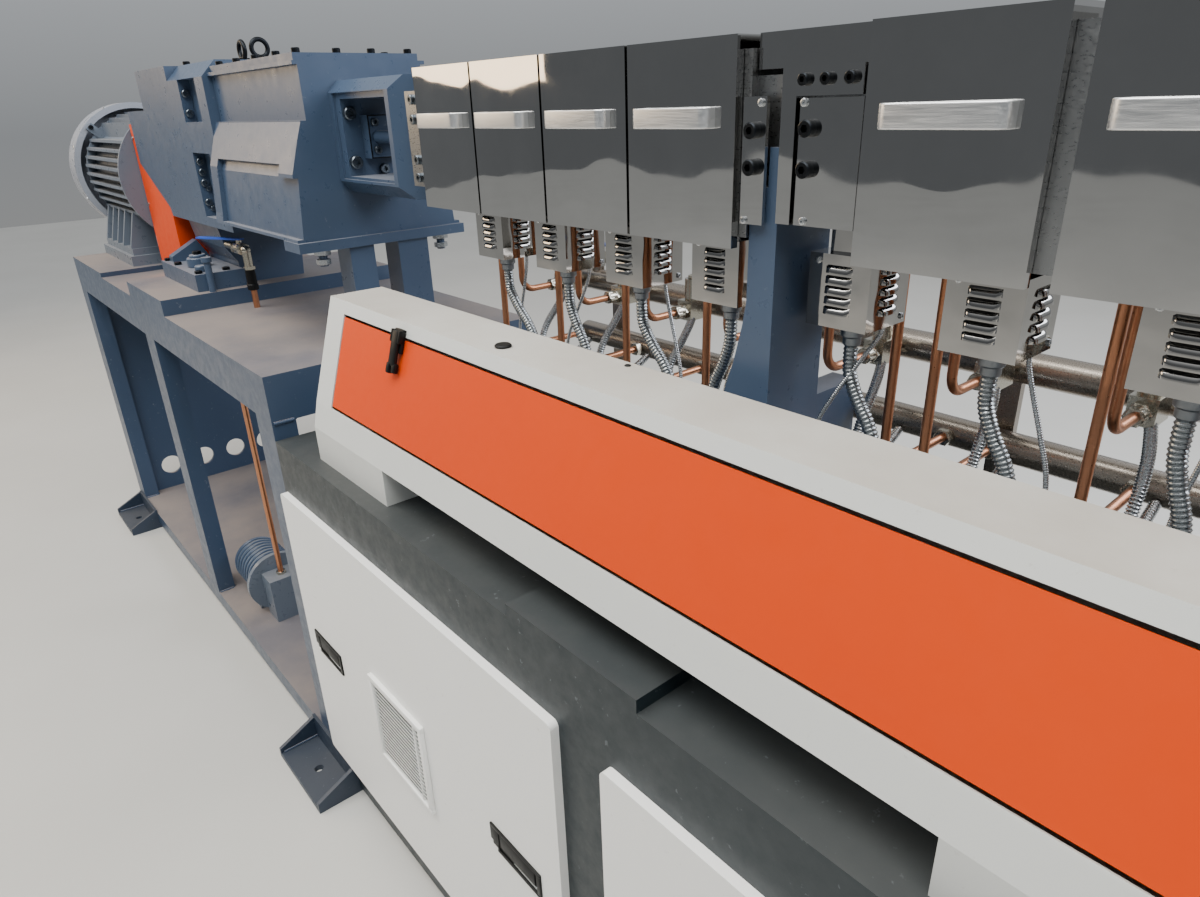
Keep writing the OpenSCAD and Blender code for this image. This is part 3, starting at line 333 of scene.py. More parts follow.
def heads_tree(name, sides, height, socket, finish):
    """Heads on points: a drum or hexagon, chamfered, with a hexagon socket; sizes are in head radii."""
    tree, given = open_tree(name, "Points", "Heads", Head_height=height, Socket_depth=socket)
    high = given["Head height"]
    # The upper 14 percent of the height is chamfered.
    straight, sloped = calc(tree, "MULTIPLY", high, 0.86), calc(tree, "MULTIPLY", high, 0.14)
    shank = add(tree, "GeometryNodeMeshCone", Vertices=sides, Radius_Top=1.0, Radius_Bottom=1.0, Depth=straight)
    crown = add(tree, "GeometryNodeMeshCone", Vertices=sides, Radius_Top=0.84, Radius_Bottom=1.0, Depth=sloped)
    crown = add(tree, "GeometryNodeTransform", Geometry=crown.outputs["Mesh"],
                Translation=add(tree, "ShaderNodeCombineXYZ", Z=straight))
    both = add(tree, "GeometryNodeJoinGeometry")
    for part in (shank, crown):
        feed(both.inputs["Geometry"], part)
    head = add(tree, "GeometryNodeMergeByDistance", Geometry=both, Distance=0.001)
    key = add(tree, "GeometryNodeMeshCone", Vertices=6, Radius_Top=0.52, Radius_Bottom=0.46, Depth=1.0)
    floor_of_socket = calc(tree, "SUBTRACT", high, given["Socket depth"])
    key = add(tree, "GeometryNodeTransform", Geometry=key.outputs["Mesh"],
              Translation=add(tree, "ShaderNodeCombineXYZ", Z=floor_of_socket))
    shell = add(tree, "GeometryNodeMeshBoolean", {"operation": "DIFFERENCE", "solver": "EXACT"},
                Mesh_1=head, Mesh_2=key)
    size = add(tree, "GeometryNodeInputNamedAttribute", {"data_type": "FLOAT"}, Name="size")
    heads = place_on_points(tree, given, shell, Rotation=look_along_facing(tree), Scale=size)
    return close_tree(tree, heads, finish, "Heads")


def grow(name, tree, points, facings, sizes, body="root", slot=None, sharp=35, **values):
    """Runs a tree on points given in mm and keeps its result as a plain mesh piece."""
    seed = bpy.data.meshes.new(name)
    seed.from_pydata([Vector(p) / 1000 for p in points], [], [])
    facing = seed.attributes.new("facing", "FLOAT_VECTOR", "POINT")
    facing.data.foreach_set("vector", [c for f in facings for c in f])
    size = seed.attributes.new("size", "FLOAT", "POINT")
    size.data.foreach_set("value", [s / 1000 for s in sizes])
    return settle(name, seed, tree, body, sharp, values)


def fix(name, tree, places, body="root", slot="dark_steel"):
    """Sets heads: places are (x, y, z, facing, head radius) in mm."""
    grow(name, tree, [p[:3] for p in places], [p[3] for p in places], [p[4] for p in places], body, slot)


LEFT, RIGHT, FRONT, BACK = (-1, 0, 0), (1, 0, 0), (0, -1, 0), (0, 1, 0)
UP, DOWN = (0, 0, 1), (0, 0, -1)

# Oily near-black with a soft glint on the rim of each head.
black_oxide = metal("black_oxide_steel", "#1d1f22", "#2c2f33", 0.42)
# Cool and bright, the small sparkles on thin plates.
zinc_steel = metal("bright_zinc_plated_steel", "#a9adb1", "#c9ccce", 0.3)
# Mid grey, so these heads stand out a little from the blue paint.
flake_zinc = metal("dull_zinc_flake_steel", "#5f676f", "#7d858d", 0.32)
cap_screws = heads_tree("cap_screw_heads", 24, 1.15, 0.62, black_oxide)
grey_screws = heads_tree("grey_cap_screw_heads", 24, 0.9, 0.6, flake_zinc)
bright_screws = heads_tree("bright_screw_heads", 20, 0.6, 0.36, zinc_steel)
hexagon_bolts = heads_tree("hexagon_bolt_heads", 6, 0.75, 0.06, black_oxide)

# Lift-off panels. Steel sheet with a fine off-white powder coat, its rim turned back, with
# handling marks scattered over it. Each hangs on two black nylon paddle latches.

# A clean matt white with a few greyish rubs.
panel_coat = enamel("off_white_powder_coat", "#f3f3f0", "#f9f9f7", 0.46, peel=0.0007,
                    scuff=0.25, scuff_code="#b3aea2")
dress(panel_coat, "front_panels", "rear_panels", "air_grilles")

# Air grilles. Moulded in the panels' colour and pushed into a square hole: a rounded frame,
# eighteen thin slats that lean outwards, one rib, and a filter fleece behind them, greyed as painted shade for
# the gaps.


def piece(name, shape, finish, body="root", sharp=35):
    """Closes a finished bmesh into a piece at the origin that rides on a body."""
    bmesh.ops.remove_doubles(shape, verts=shape.verts, dist=1e-6)
    bmesh.ops.recalc_face_normals(shape, faces=shape.faces)
    mesh = bpy.data.meshes.new(name)
    shape.to_mesh(mesh)
    shape.free()
    mesh.materials.append(finish)
    mesh.shade_smooth()
    mesh.set_sharp_from_angle(angle=math.radians(sharp))
    made = bpy.data.objects.new(name, mesh)
    bpy.context.scene.collection.objects.link(made)
    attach(made, body)
    return made


def pad(shape, low, high, edge, turn=None):
    """Adds a block between two corners in mm, its edges rounded; turn places it after that."""
    low, high = Vector(low) / 1000, Vector(high) / 1000
    made = bmesh.ops.create_cube(shape, size=1.0)["verts"]
    for v in made:
        v.co = Vector([low[i] if v.co[i] < 0 else high[i] for i in range(3)])
    edges = list(dict.fromkeys(e for v in made for e in v.link_edges))
    made = bmesh.ops.bevel(shape, geom=edges, offset=edge / 1000, segments=2, profile=0.5,
                           affect="EDGES")["verts"]
    if turn:
        made = list(dict.fromkeys(v for w in made for f in w.link_faces for v in f.verts))
        bmesh.ops.transform(shape, matrix=turn, verts=made)


def slat_tree(name, finish):
    """Slats on points: a thin bar of lens-shaped section that leans outwards, sizes as named inputs."""
    tree, given = open_tree(name, "Points", "Slats", Length=0.188, Height=0.006, Thickness=0.0016, Lean=0.6)
    half_height = calc(tree, "MULTIPLY", given["Height"], 0.5)
    half_thickness = calc(tree, "MULTIPLY", given["Thickness"], 0.5)
    bar = add(tree, "GeometryNodeMeshCylinder", Vertices=12, Radius=1.0, Depth=given["Length"])
    flat = add(tree, "GeometryNodeTransform", Geometry=bar.outputs["Mesh"], Rotation=(0.0, math.pi / 2, 0.0),
               Scale=add(tree, "ShaderNodeCombineXYZ", X=half_height, Y=half_thickness, Z=1.0))
    lean = add(tree, "FunctionNodeEulerToRotation", Euler=add(tree, "ShaderNodeCombineXYZ", X=given["Lean"]))
    return close_tree(tree, place_on_points(tree, given, flat, Rotation=lean), finish, "Slats")


# A fleece sheet, grey and quite dull; its grey is painted shade that darkens the gaps between the slats.
fleece_painted_shade = enamel("grey_filter_fleece", "#6f7273", "#808384", 0.85, peel=0.0014)
panel_face = -340
grille_size, grille_low, frame_width, slats, slat_pitch = 204, 302.6, 12, 18, 9.8
grille, filters, slat_places = bmesh.new(), bmesh.new(), []
for x0 in (377.4, 1404.5):
    x1, z0, z1, y = x0 + grille_size, grille_low, grille_low + grille_size, panel_face
    bars = (((x0, y - 9, z0), (x1, y, z0 + frame_width)),
            ((x0, y - 9, z1 - frame_width), (x1, y, z1)),
            ((x0 + 0.3, y - 8.8, z0 + 2), (x0 + frame_width, y - 0.1, z1 - 2)),
            ((x1 - frame_width, y - 8.8, z0 + 2), (x1 - 0.3, y - 0.1, z1 - 2)),
            ((x1 - 35, y - 7.2, z0 + 8), (x1 - 32, y - 1, z1 - 8)))
    for low, high in bars:
        pad(grille, low, high, 1.4)
    slat_places += [((x0 + x1) / 2, y - 4.6, z0 + 18 + slat_pitch * n) for n in range(slats)]
    pad(filters, (x0 + 9, y - 1.6, z0 + 9), (x1 - 9, y - 0.3, z1 - 9), 0.3)
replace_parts(piece("grille_frames", grille, panel_coat), "air_grilles")
# The fleece sheet behind the slats carries the painted shade of the gaps.
piece("grille_filters", filters, fleece_painted_shade)
grow("grille_slats", slat_tree("moulded_slats", panel_coat), slat_places, [FRONT] * len(slat_places),
     [1] * len(slat_places), slot="panel_paint", sharp=40, Lean=math.radians(34))

# Flush latches. Black nylon cups pressed into each panel, with a paddle that is pulled to free
# the panel and a narrow lower lip; a zinc tongue shows in the slit below the paddle.

# Deep matt black with hardly any shine, and a little dust on its upper faces.
black_nylon = enamel("black_moulded_nylon", "#0a0b0c", "#121314", 0.44, peel=0.0006,
                     dust=0.12, dust_code="#4a4742")
feed(black_nylon.node_tree.nodes["Principled BSDF"].inputs["Specular IOR Level"], 0.22)
dress(black_nylon, "panel_latches")
latch_low, latch_length, latch_height = 403.5, 134, 50
cups, tongues = bmesh.new(), bmesh.new()
for x in (88, 784, 1115, 1811):
    y, z, x1, z1 = panel_face, latch_low, x + latch_length, latch_low + latch_height
    rim_bars = (((x, y - 3.2, z + 16), (x + 24, y + 0.4, z1 - 0.3)),
                ((x + 0.2, y - 3.4, z1 - 6), (x1, y + 0.4, z1)),
                ((x + 18, y - 3.4, z), (x1, y + 0.4, z + 6)),
                ((x1 - 10, y - 3.2, z + 0.3), (x1 - 0.2, y + 0.4, z1 - 0.3)),
                ((x + 18.2, y - 3.1, z + 0.3), (x + 24, y + 0.4, z + 20)))
    for low, high in rim_bars:
        pad(cups, low, high, 1.5)
    # The cup's back, the paddle and the tongue.
    pad(cups, (x + 2, y - 0.2, z + 2), (x1 - 2, y + 1.6, z1 - 2), 0.6)
    pad(cups, (x + 26, y - 2.8, z + 15), (x1 - 15, y + 0.8, z1 - 7), 1.6)
    pad(tongues, (x + 62, y - 1.2, z + 8), (x1 - 13, y, z + 13), 0.4)
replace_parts(piece("flush_latches", cups, black_nylon), "panel_latches")
piece("latch_tongues", tongues, zinc_steel)

# Cable duct. Folded sheet in light grey powder coat, with a bright orange textured cover. The
# sloped front carries the cover, the flat top gathers dust.

# Pale and even, greyed on the flat top.
duct_coat = enamel("light_grey_powder_coat", "#cccecb", "#d8dad7", 0.44, peel=0.0007,
                   dust=0.75, dust_code="#a19688", scuff=0.2, scuff_code="#9f9a90")
# Strong orange with a fine dull grain, so no highlight washes it out.
orange_coat = enamel("orange_textured_powder_coat", "#d23c00", "#dc4600", 0.5, peel=0.0011,
                     dust=0.06, dust_code="#b0714a")
feed(orange_coat.node_tree.nodes["Principled BSDF"].inputs["Specular IOR Level"], 0.25)
dress(duct_coat, "duct_body", "duct_feet")
dress(orange_coat, "duct_cover")

# Duct latches. A black nylon swing toggle holds each end of the cover's upper edge: a base on the
# duct's strip, a long lever over it, and a split thumb end that stands off the cover.


def close_rings(shape, rings):
    """Skins rings of equal count, one to the next, and closes both ends."""
    count = len(rings[0])
    for a, b in zip(rings, rings[1:]):
        for j in range(count):
            shape.faces.new((a[j], a[(j + 1) % count], b[(j + 1) % count], b[j]))
    shape.faces.new(rings[0][::-1])
    shape.faces.new(rings[-1])


def drum(shape, start, end, r, edge=0.8, sides=28):
    """Adds a turned part between two points in mm, both rims chamfered."""
    start, end = Vector(start) / 1000, Vector(end) / 1000
    run = end - start
    turn = run.to_track_quat("Z", "Y").to_matrix()
    cut = edge / 1000 / run.length
    rings = []
    spokes = [Vector((math.cos(math.tau * j / sides), math.sin(math.tau * j / sides), 0)) for j in range(sides)]
    for share, size in ((0.0, r - edge), (cut, r), (1.0 - cut, r), (1.0, r - edge)):
        rings.append([shape.verts.new(start + run * share + turn @ spoke * size / 1000) for spoke in spokes])
    close_rings(shape, rings)


dress(black_nylon, "duct_latches")
# Low corner, high corner and edge radius of each block, in mm across, up and out of the slope.
toggle_blocks = (((1, 150, 0.4), (29, 189, 6.5), 1.6), ((0, 166, 4), (6, 187, 13), 1.8),
                 ((24, 166, 4), (30, 187, 13), 1.8), ((5, 128, 5.5), (25, 186, 13.5), 3.2),
                 ((3, 115, 3.5), (13.6, 133, 14.5), 2.6), ((16.4, 117, 3.0), (27, 133, 12.5), 2.6))
# The slope goes back 0.3042 mm for every 0.9526 mm of height, from its lower edge in metres.
back, rise, edge_y, edge_z = 0.3042, 0.9526, -0.282, 0.996
toggles, pins = bmesh.new(), bmesh.new()
for x in (453, 1732):
    on_slope = Matrix(((1, 0, 0, x / 1000), (0, back, -rise, edge_y), (0, rise, back, edge_z), (0, 0, 0, 1)))
    for low, high, edge in toggle_blocks:
        pad(toggles, low, high, edge, on_slope)
    left_end, right_end = (on_slope @ Vector((across, 0.1765, 0.0095)) * 1000 for across in (0.002, 0.028))
    drum(pins, left_end, right_end, 2.6, 0.4, 14)
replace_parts(piece("duct_toggles", toggles, black_nylon, body="duct_door"), "duct_latches")
piece("toggle_pins", pins, zinc_steel, body="duct_door")

# Rubber plugs. Two spare cable holes in the duct's flat top are closed with black domed plugs,
# pushed in by hand, a large one near the drive and a small one further on.
duct_top = 1186.6
plugs = bmesh.new()
drum(plugs, (705, -192, duct_top), (705, -192, duct_top + 4.9), 12.5, 2.0)
drum(plugs, (897, -130, duct_top), (897, -130, duct_top + 2), 4.5, 0.8, 18)
piece("duct_plugs", plugs, black_nylon)

# Drive motor. Finned grey cast iron under blue-grey enamel, with a pressed steel fan cowl in a
# paler shade. The casting's skin is rough and the fins hold dust.


def bolt_circle(x, y, z, r, facing, size, first, count):
    """Places on a circle round an axis along X, the first at an angle in degrees; no facing is outward."""
    turns = [math.radians(first + 360 / count * n) for n in range(count)]
    spokes = [(0, math.cos(a), math.sin(a)) for a in turns]
    return [(x, y + r * spoke[1], z + r * spoke[2], facing or spoke, size) for spoke in spokes]


# Light blue-grey with a coarse skin that breaks up the highlights on the fins.
motor_enamel = enamel("light_grey_enamel_on_cast_iron", "#5b6572", "#6d7784", 0.3, peel=0.002,
                      dust=0.35, dust_code="#958e85")
# Paler and smoother than the body.
cowl_enamel = enamel("pale_grey_enamel_on_sheet", "#868b96", "#969ba5", 0.28, dust=0.25)
dress(motor_enamel, "motor_body", "motor_feet")
dress(cowl_enamel, "motor_cowl")
motor_z, motor_left = 1316, -1933
fix("cowl_screws", cap_screws, bolt_circle(-1950, 0, motor_z, 220, RIGHT, 8, 45, 4))
fix("cowl_rim_screws", bright_screws, bolt_circle(-1986, 0, motor_z, 236, None, 5.5, 22, 8))
fix("motor_foot_bolts", hexagon_bolts,
    [(motor_left + along, side * 178, 1088, UP, 13) for along in (67, 153, 239, 337) for side in (-1, 1)])
fix("motor_end_bolts", hexagon_bolts, bolt_circle(-1401, 0, motor_z, 196, LEFT, 9, 15, 12))

# The motor's terminal box. It sits on the rear side and has a cast lid with a raised field, a
# rubber lip under it, four screws, and a blind cable gland in its underside.
lid, lip = bmesh.new(), bmesh.new()
pad(lid, (-1724, 273, 1267), (-1556, 284, 1405), 3.2)
pad(lid, (-1706, 282, 1285), (-1574, 287, 1387), 2.2)
pad(lip, (-1721, 269.5, 1270), (-1559, 274, 1402), 0.8)
drum(lip, (-1640, 244, 1272), (-1640, 244, 1250), 15, 2.2)
piece("terminal_lid", lid, motor_enamel)
piece("terminal_seal", lip, black_nylon)
fix("terminal_lid_screws", bright_screws,
    [(x, 284, z, BACK, 5.5) for x in (-1715, -1565) for z in (1276, 1396)])

# Coupling guard. Folded sheet over the shaft coupling in the duct cover's orange, held to the
# deck by three screws a side and to the motor's end by two more a side.
dress(orange_coat, "coupling_guard")
guard_half, guard_foot_z = 150, 1034
fix("guard_screws", bright_screws,
    [(x, side * guard_half, guard_foot_z, (0, side, 0), 6.5) for x in (-1370, -1250, -1125) for side in (-1, 1)]
    + [(-1372, side * guard_half, z, (0, side, 0), 5) for z in (1240, 1440) for side in (-1, 1)])

# Gearbox. Machined grey iron housings under the base's enamel: adapter, bolted flange block,
# upper and lower housing with their lid and stand. Cap screws sit in the ribs and the lid.

# The base's blue-grey on a cast skin, a little lighter and glossier than on the sheet.
cast_enamel = enamel("blue_grey_enamel_on_cast_iron", "#38475d", "#45566d", 0.31, peel=0.0018,
                     dust=0.4, dust_code="#a09c9a", scuff=0.2)
dress(cast_enamel, "gearbox_adapter", "gearbox_lower", "gearbox_flange", "gearbox_upper", "gearbox_lid",
      "gearbox_stand")
dress(black_oxide, "eyebolts")
rib_x, lid_z = -745, 1604
fix("rib_screws", grey_screws,
    [(rib_x, y, z, RIGHT, 9.5) for y in (-141, 141) for z in (1551, 1505, 1388, 1362, 1335, 1286)]
    + [(rib_x, y, z, RIGHT, 7) for y in (-133, 133) for z in (1320, 1270)])
fix("lid_screws", cap_screws,
    [(x, y, lid_z, UP, 8) for x in (-505, -386, -267, -148, -45) for y in (-119, 119)]
    + [(x, y, lid_z, UP, 8) for x in (-505, -45) for y in (-37, 37)])
bright_nuts = heads_tree("bright_hexagon_nuts", 6, 0.75, 0.06, zinc_steel)
fix("stand_nuts", bright_nuts,
    [(-37, y, z, DOWN, r) for y in (-135, 145) for z, r in ((1236.2, 17), (1216, 15))])
fix("stand_feet_bolts", hexagon_bolts, [(x, y, 1018, UP, 11) for x in (-100, 6) for y in (-57, 64)])
fix("adapter_screws", cap_screws, [(-825, y, 1619, UP, 9) for y in (-100, -50, 0, 50, 100)])

# Lantern. An open iron box that joins the gearbox to the barrels, with large cap screws on the
# inner wall and a seal plate round the two shafts, with a thin black outline round its edge.
dress(cast_enamel, "lantern", "lantern_seal")
fix("lantern_screws", grey_screws,
    [(20, y, z, RIGHT, 12.5) for y in (-60, 60) for z in (1404, 1494)] + [(20, 0, 1388, RIGHT, 10)])
fix("seal_screws", grey_screws, [(52, y, z, RIGHT, 7.5) for y in (-24, 24) for z in (1426, 1477)])
# A thin black strip, some 2 mm wide, runs round the seal plate's edge.
seal_outline = bmesh.new()
for low, high in (((49.5, -37.2, 1488), (52.6, 37.2, 1490)), ((49.5, -37.2, 1410), (52.6, 37.2, 1412)),
                  ((49.6, -37.0, 1410.5), (52.5, -35, 1489.5)), ((49.6, 35, 1410.5), (52.5, 37.0, 1489.5))):
    pad(seal_outline, low, high, 0.4)
piece("seal_gasket", seal_outline, black_nylon)
fix("barrel_flange_screws", grey_screws,
    [(318, side * 79, z, (0, side, 0), 8) for side in (-1, 1) for z in (1389, 1418, 1482, 1513)])

# Barrel line. Forged and ground steel barrels with bolted flanges on painted iron pillars, and
# mirror-polished stainless covers, folded from sheet, that hang over them.


def polished(name, low, high, dull, waves, depth):
    """Polished stainless sheet: smears in the gloss, and a face that is never quite flat."""
    made, tree, place, shader = finish_named(name)
    feed(shader.inputs["Metallic"], 1.0)
    smear = noise(tree, place, 11.0, 7.0, 0.7)
    gloss = remap(tree, smear, 0.42, 0.8, 0.02, dull)
    bump = add(tree, "ShaderNodeBump", Strength=1.0, Distance=depth, Height=noise(tree, place, waves, 1.5))
    skin_over(shader, blend(tree, smear, rgb(low), rgb(high)), gloss, bump)
    return made


# Even grey with fine lines along the barrels and a few brown heat marks.
ground_steel = metal("ground_tool_steel", "#8f9192", "#a7a8a9", 0.32, streak=(40.0, 90.0, 90.0),
                     cut=0.04, stain=0.2)
# A true mirror with hand smears; waves some 20 cm long bend every reflection a little.
mirror = polished("mirror_polished_stainless", "#bfbebc", "#d0cfcd", 0.07, 5.0, 0.0035)
dress(ground_steel, "barrel", "die_adapter", "shaft_coupling")
dress(cast_enamel, "barrel_pillars")
dress(mirror, "left_covers", "right_covers", "pillar_flange")

# Cover handles. A flat aluminium strip with rolled edges, bent to a bow 120 mm long and glued and
# screwed from behind, so no fixing shows on its face.

# Bright, with soft streaks that run down the strip.
aluminium = metal("satin_anodised_aluminium", "#e6e8ea", "#f1f2f3", 0.36, streak=(6.0, 60.0, 120.0),
                  cut=0.03)
length, half_thick, half_high, bend = 120, 1.5, 11, 9.5
foot_y, bend_y, handle_z = -81.5, -88, 1480
roll_out, roll_up = 1.1, 1.6
quarter = [math.radians(15 * i) for i in range(7)]
rim = [(half_thick - roll_out + roll_out * math.cos(a), half_high - roll_up + roll_up * math.sin(a))
       for a in quarter]
rim += [(-n, z) for n, z in reversed(rim)]
rim = [(half_thick, 0.0)] + rim + [(-half_thick, 0.0)] + [(n, -z) for n, z in reversed(rim)]
handles = bmesh.new()
for x0 in (352.5, 526, 699.5, 873, 1197.5, 1387.5, 1559.5, 1731.5, 1902):
    left, right = x0 + half_thick + bend, x0 + length - half_thick - bend
    path = [(x0 + half_thick, foot_y, -1, 0)]
    path += [(left - bend * math.cos(a), bend_y - bend * math.sin(a), -math.cos(a), -math.sin(a))
             for a in quarter]
    path += [(right + bend * math.cos(a), bend_y - bend * math.sin(a), math.cos(a), -math.sin(a))
             for a in reversed(quarter)]
    path += [(x0 + length - half_thick, foot_y, 1, 0)]
    close_rings(handles, [[handles.verts.new(((x + nx * n) / 1000, (y + ny * n) / 1000, (handle_z + z) / 1000))
                           for n, z in rim] for x, y, nx, ny in path])
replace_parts(piece("bow_handles", handles, aluminium), "cover_handles")

# The bare section's plates. Where the pillar stands, bright plates take the cover's place. Four
# large black cap screws and three smaller ones hold them, with four small bright screws.
fix("plate_screws", cap_screws,
    [(1043, -75, z, FRONT, 8.5) for z in (1430, 1467)] + [(1112, -74, z, FRONT, 8.5) for z in (1430, 1469)]
    + [(x, -76, 1514, FRONT, 6) for x in (1105, 1131, 1158)])
fix("plate_fixings", bright_screws, [(1051, -75, 1494, FRONT, 4), (1033, -75, 1374, FRONT, 4),
                                     (1104, -74, 1493, FRONT, 4), (1111, -74, 1379, FRONT, 4)])

# Terminal boxes. Folded from thin stainless, half polished, one under each barrel for its heater's
# wires. Five louvres are pressed out of the front and the right side, and two screws hold the lid.


def louvre_tree(name, finish, throat_shade_finish):
    """Pressed louvres on points: a hood that stands out at its lower lip and dies into the sheet above."""
    tree, given = open_tree(name, "Points", "Louvres", Width=0.030, Height=0.008, Stand_out=0.005)
    rows, columns = 6, 15
    sheet = add(tree, "GeometryNodeMeshGrid", Size_X=2.0, Size_Y=float(rows),
                Vertices_X=columns, Vertices_Y=rows + 1)
    at = add(tree, "ShaderNodeSeparateXYZ", Vector=add(tree, "GeometryNodeInputPosition")).outputs

    def fall(value, power):
        """The height of a bulge that is 1 where the value is 0 and dies at 1."""
        left_over = calc(tree, "SUBTRACT", 1.0, calc(tree, "POWER", value, power))
        return calc(tree, "SQRT", calc(tree, "MAXIMUM", left_over, 0.0))

    # The first row of faces is the throat, painted shade from the sheet out to the lip; the others are the
    # hood.
    row = calc(tree, "ADD", at["Y"], rows / 2)
    in_throat = add(tree, "FunctionNodeCompare", {"data_type": "FLOAT", "operation": "LESS_THAN"},
                    A=row, B=0.75)
    whole = add(tree, "GeometryNodeSetMaterial", Geometry=sheet.outputs["Mesh"], Material=finish)
    lined = add(tree, "GeometryNodeSetMaterial", Geometry=whole, Selection=in_throat, Material=throat_shade_finish)
    up_hood = calc(tree, "DIVIDE", calc(tree, "MAXIMUM", calc(tree, "SUBTRACT", row, 1.0), 0.0), rows - 1.0)
    bulge = calc(tree, "MULTIPLY", fall(calc(tree, "ABSOLUTE", at["X"]), 5.0), fall(up_hood, 2.2))
    stand_out = calc(tree, "MULTIPLY", given["Stand out"], calc(tree, "GREATER_THAN", row, 0.5))
    # Its back edge sits 0.2 mm deep in the box, so no gap shows.
    x = calc(tree, "MULTIPLY", at["X"], calc(tree, "MULTIPLY", given["Width"], 0.5))
    y = calc(tree, "MULTIPLY", up_hood, given["Height"])
    z = calc(tree, "SUBTRACT", calc(tree, "MULTIPLY", bulge, stand_out), 0.0002)
    form = add(tree, "GeometryNodeSetPosition", Geometry=lined,
               Position=add(tree, "ShaderNodeCombineXYZ", X=x, Y=y, Z=z))
    upright = add(tree, "FunctionNodeAlignRotationToVector", {"axis": "Y", "pivot_axis": "Z"},
                  Rotation=look_along_facing(tree), Vector=(0, 0, 1))
    hoods = place_on_points(tree, given, form, Rotation=upright)
    real = add(tree, "GeometryNodeRealizeInstances", Geometry=hoods)
    feed(add(tree, "NodeGroupOutput").inputs["Louvres"], real)
    return tree


# Half bright: it takes the light in broad soft patches and shows the folds.
box_steel = polished("half_polished_stainless", "#a6a4a1", "#bcbab7", 0.16, 14.0, 0.0012)
# Painted shade: the dark mouth under each louvre, where the opening lies in shade.
throat_painted_shade = enamel("shadowed_louvre_throat", "#2b2c2e", "#37383a", 0.7)
dress(box_steel, "terminal_boxes")
# Ten sections on one pitch; each box hangs a little right of its section's middle, more by the pillar.
sections, first_section, pitch = 10, 329, 172
centres = [first_section + pitch * (k + 0.5) for k in range(sections)]
box_places = [c + (22 if k == 4 else 12) for k, c in enumerate(centres)]
box_front, box_right = -20, 39
louvre_heights = [1272 + 11.5 * n for n in range(5)]
louvres = [((x, box_front, z), FRONT) for x in box_places for z in louvre_heights]
louvres += [((x + box_right, 20, z), RIGHT) for x in box_places for z in louvre_heights]
grow("box_louvres", louvre_tree("pressed_louvres", box_steel, throat_painted_shade), [p for p, f in louvres],
     [f for p, f in louvres], [1000] * len(louvres), slot="satin_steel", sharp=60,
     Width=0.034, Height=0.0085, Stand_out=0.0055)
fix("box_screws", bright_screws, [(x - 27, box_front, 1330, FRONT, 3.6) for x in box_places]
    + [(x + box_right, 52, 1264, RIGHT, 3.6) for x in box_places], slot="satin_steel")

# Wire conduits. Corrugated galvanised strip tube, 16 mm across with a 5 mm pitch, screwed into a
# die-cast gland under each box and led down behind the duct in an easy bend.


def deck_below(x):
    """The height in mm at which a conduit or lead ends: on the deck, or on a pillar's raised pad."""
    return 899 if 865 < x < 1117 or 1725 < x < 1977 else 880


# Cool grey rings that glitter along the bends.
galvanised = metal("zinc_coated_strip", "#8f9496", "#b2b6b7", 0.3)
# The same grey, cast and duller.
die_cast = metal("die_cast_zinc", "#8b9095", "#a3a8ac", 0.42)
dress(galvanised, "wire_conduits")
gland_top = 1238
gland_places = [(x + 5, 10) for x in box_places]
# How far each conduit drifts along the line, and the share of that at each fall below the gland.
drifts = (72, 44, 64, -32, 44, 40, 22, 40, -34, 44)
bend_of_conduit = ((0, 0), (0, 22), (0.06, 44), (0.36, 72), (0.74, 98), (0.97, 128), (1, 165), (0.9, 230),
                   (0.8, 300))
conduit_paths = [[(x + share * drift, y, gland_top - fall) for share, fall in bend_of_conduit]
                 + [(x + 0.78 * drift, y, deck_below(x))] for (x, y), drift in zip(gland_places, drifts)]
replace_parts(lay("conduits", tube_tree("corrugated_conduits", galvanised), conduit_paths, slot="satin_steel"),
            "wire_conduits")
gland_nuts = heads_tree("gland_nuts", 12, 1.1, 0.02, die_cast)
fix("conduit_glands", gland_nuts, [(x, y, 1256.2, DOWN, 13.5) for x, y in gland_places]
    + [(x, y, 1243, DOWN, 10.5) for x, y in gland_places], slot="satin_steel")

# Thermocouple leads. Each is a 5 mm cable in a bright steel braid; it leaves the box's rear
# corner and drops to the deck in a slack bow.

# Silvery, with a fine sparkle from the braid's wires.
braid = metal("bright_steel_braid", "#adb0b2", "#d6d8d9", 0.26)
# How far each lead bows along the line; three of them also lean forward, clear of a pillar.
bows = (-30, -62, 40, -50, -54, 44, -20, 36, -54, -50)
leaning = (4, 8, 9)
# The share of the bow, the depth, the share of the lean and the height of each point.
bend_of_lead = ((0, 34, 0, 1257), (0.05, 34, 0.15, 1240), (0.28, 33, 0.55, 1210), (0.62, 31, 0.9, 1170),
                (0.92, 29, 1, 1130), (1, 28, 1, 1080), (0.9, 28, 1, 1000))
leads = []
for k, bow in enumerate(bows):
    x, lean = box_places[k] + 30, 40 if k in leaning else 0
    leads.append([(x + share * bow, y - lean_share * lean, z) for share, y, lean_share, z in bend_of_lead]
                 + [(x + 0.8 * bow, 28 - lean, deck_below(x + bow))])
lay("thermocouple_leads", tube_tree("braided_leads", braid), leads, slot="satin_steel",
    Radius=0.0027, Ring_pitch=0.0026, Ring_depth=0.12, Step=0.00065)

# Water and oil tubes. Drawn copper, darkened unevenly by handling and heat, with nickel-plated
# brass valves, union nuts, and one blue vinyl-dipped lever on each ball valve.

# Warm red-brown, clouded with darker patches.
copper = metal("drawn_copper_tarnished", "#b2714f", "#cf9876", 0.34, stain=0.45, stain_code="#7a4f39")
# Yellowish silver, the glossiest of the small parts.
nickel = metal("nickel_plated_brass", "#aba596", "#c2bdb0", 0.22, stain=0.1, stain_code="#7d6b49")
# Grey steel with straw and brown tints along the welded manifolds.
tarnished = metal("heat_tinted_steel_tube", "#938a80", "#aba297", 0.3, cut=0.06,
                  stain=0.35, stain_code="#7a6a58")
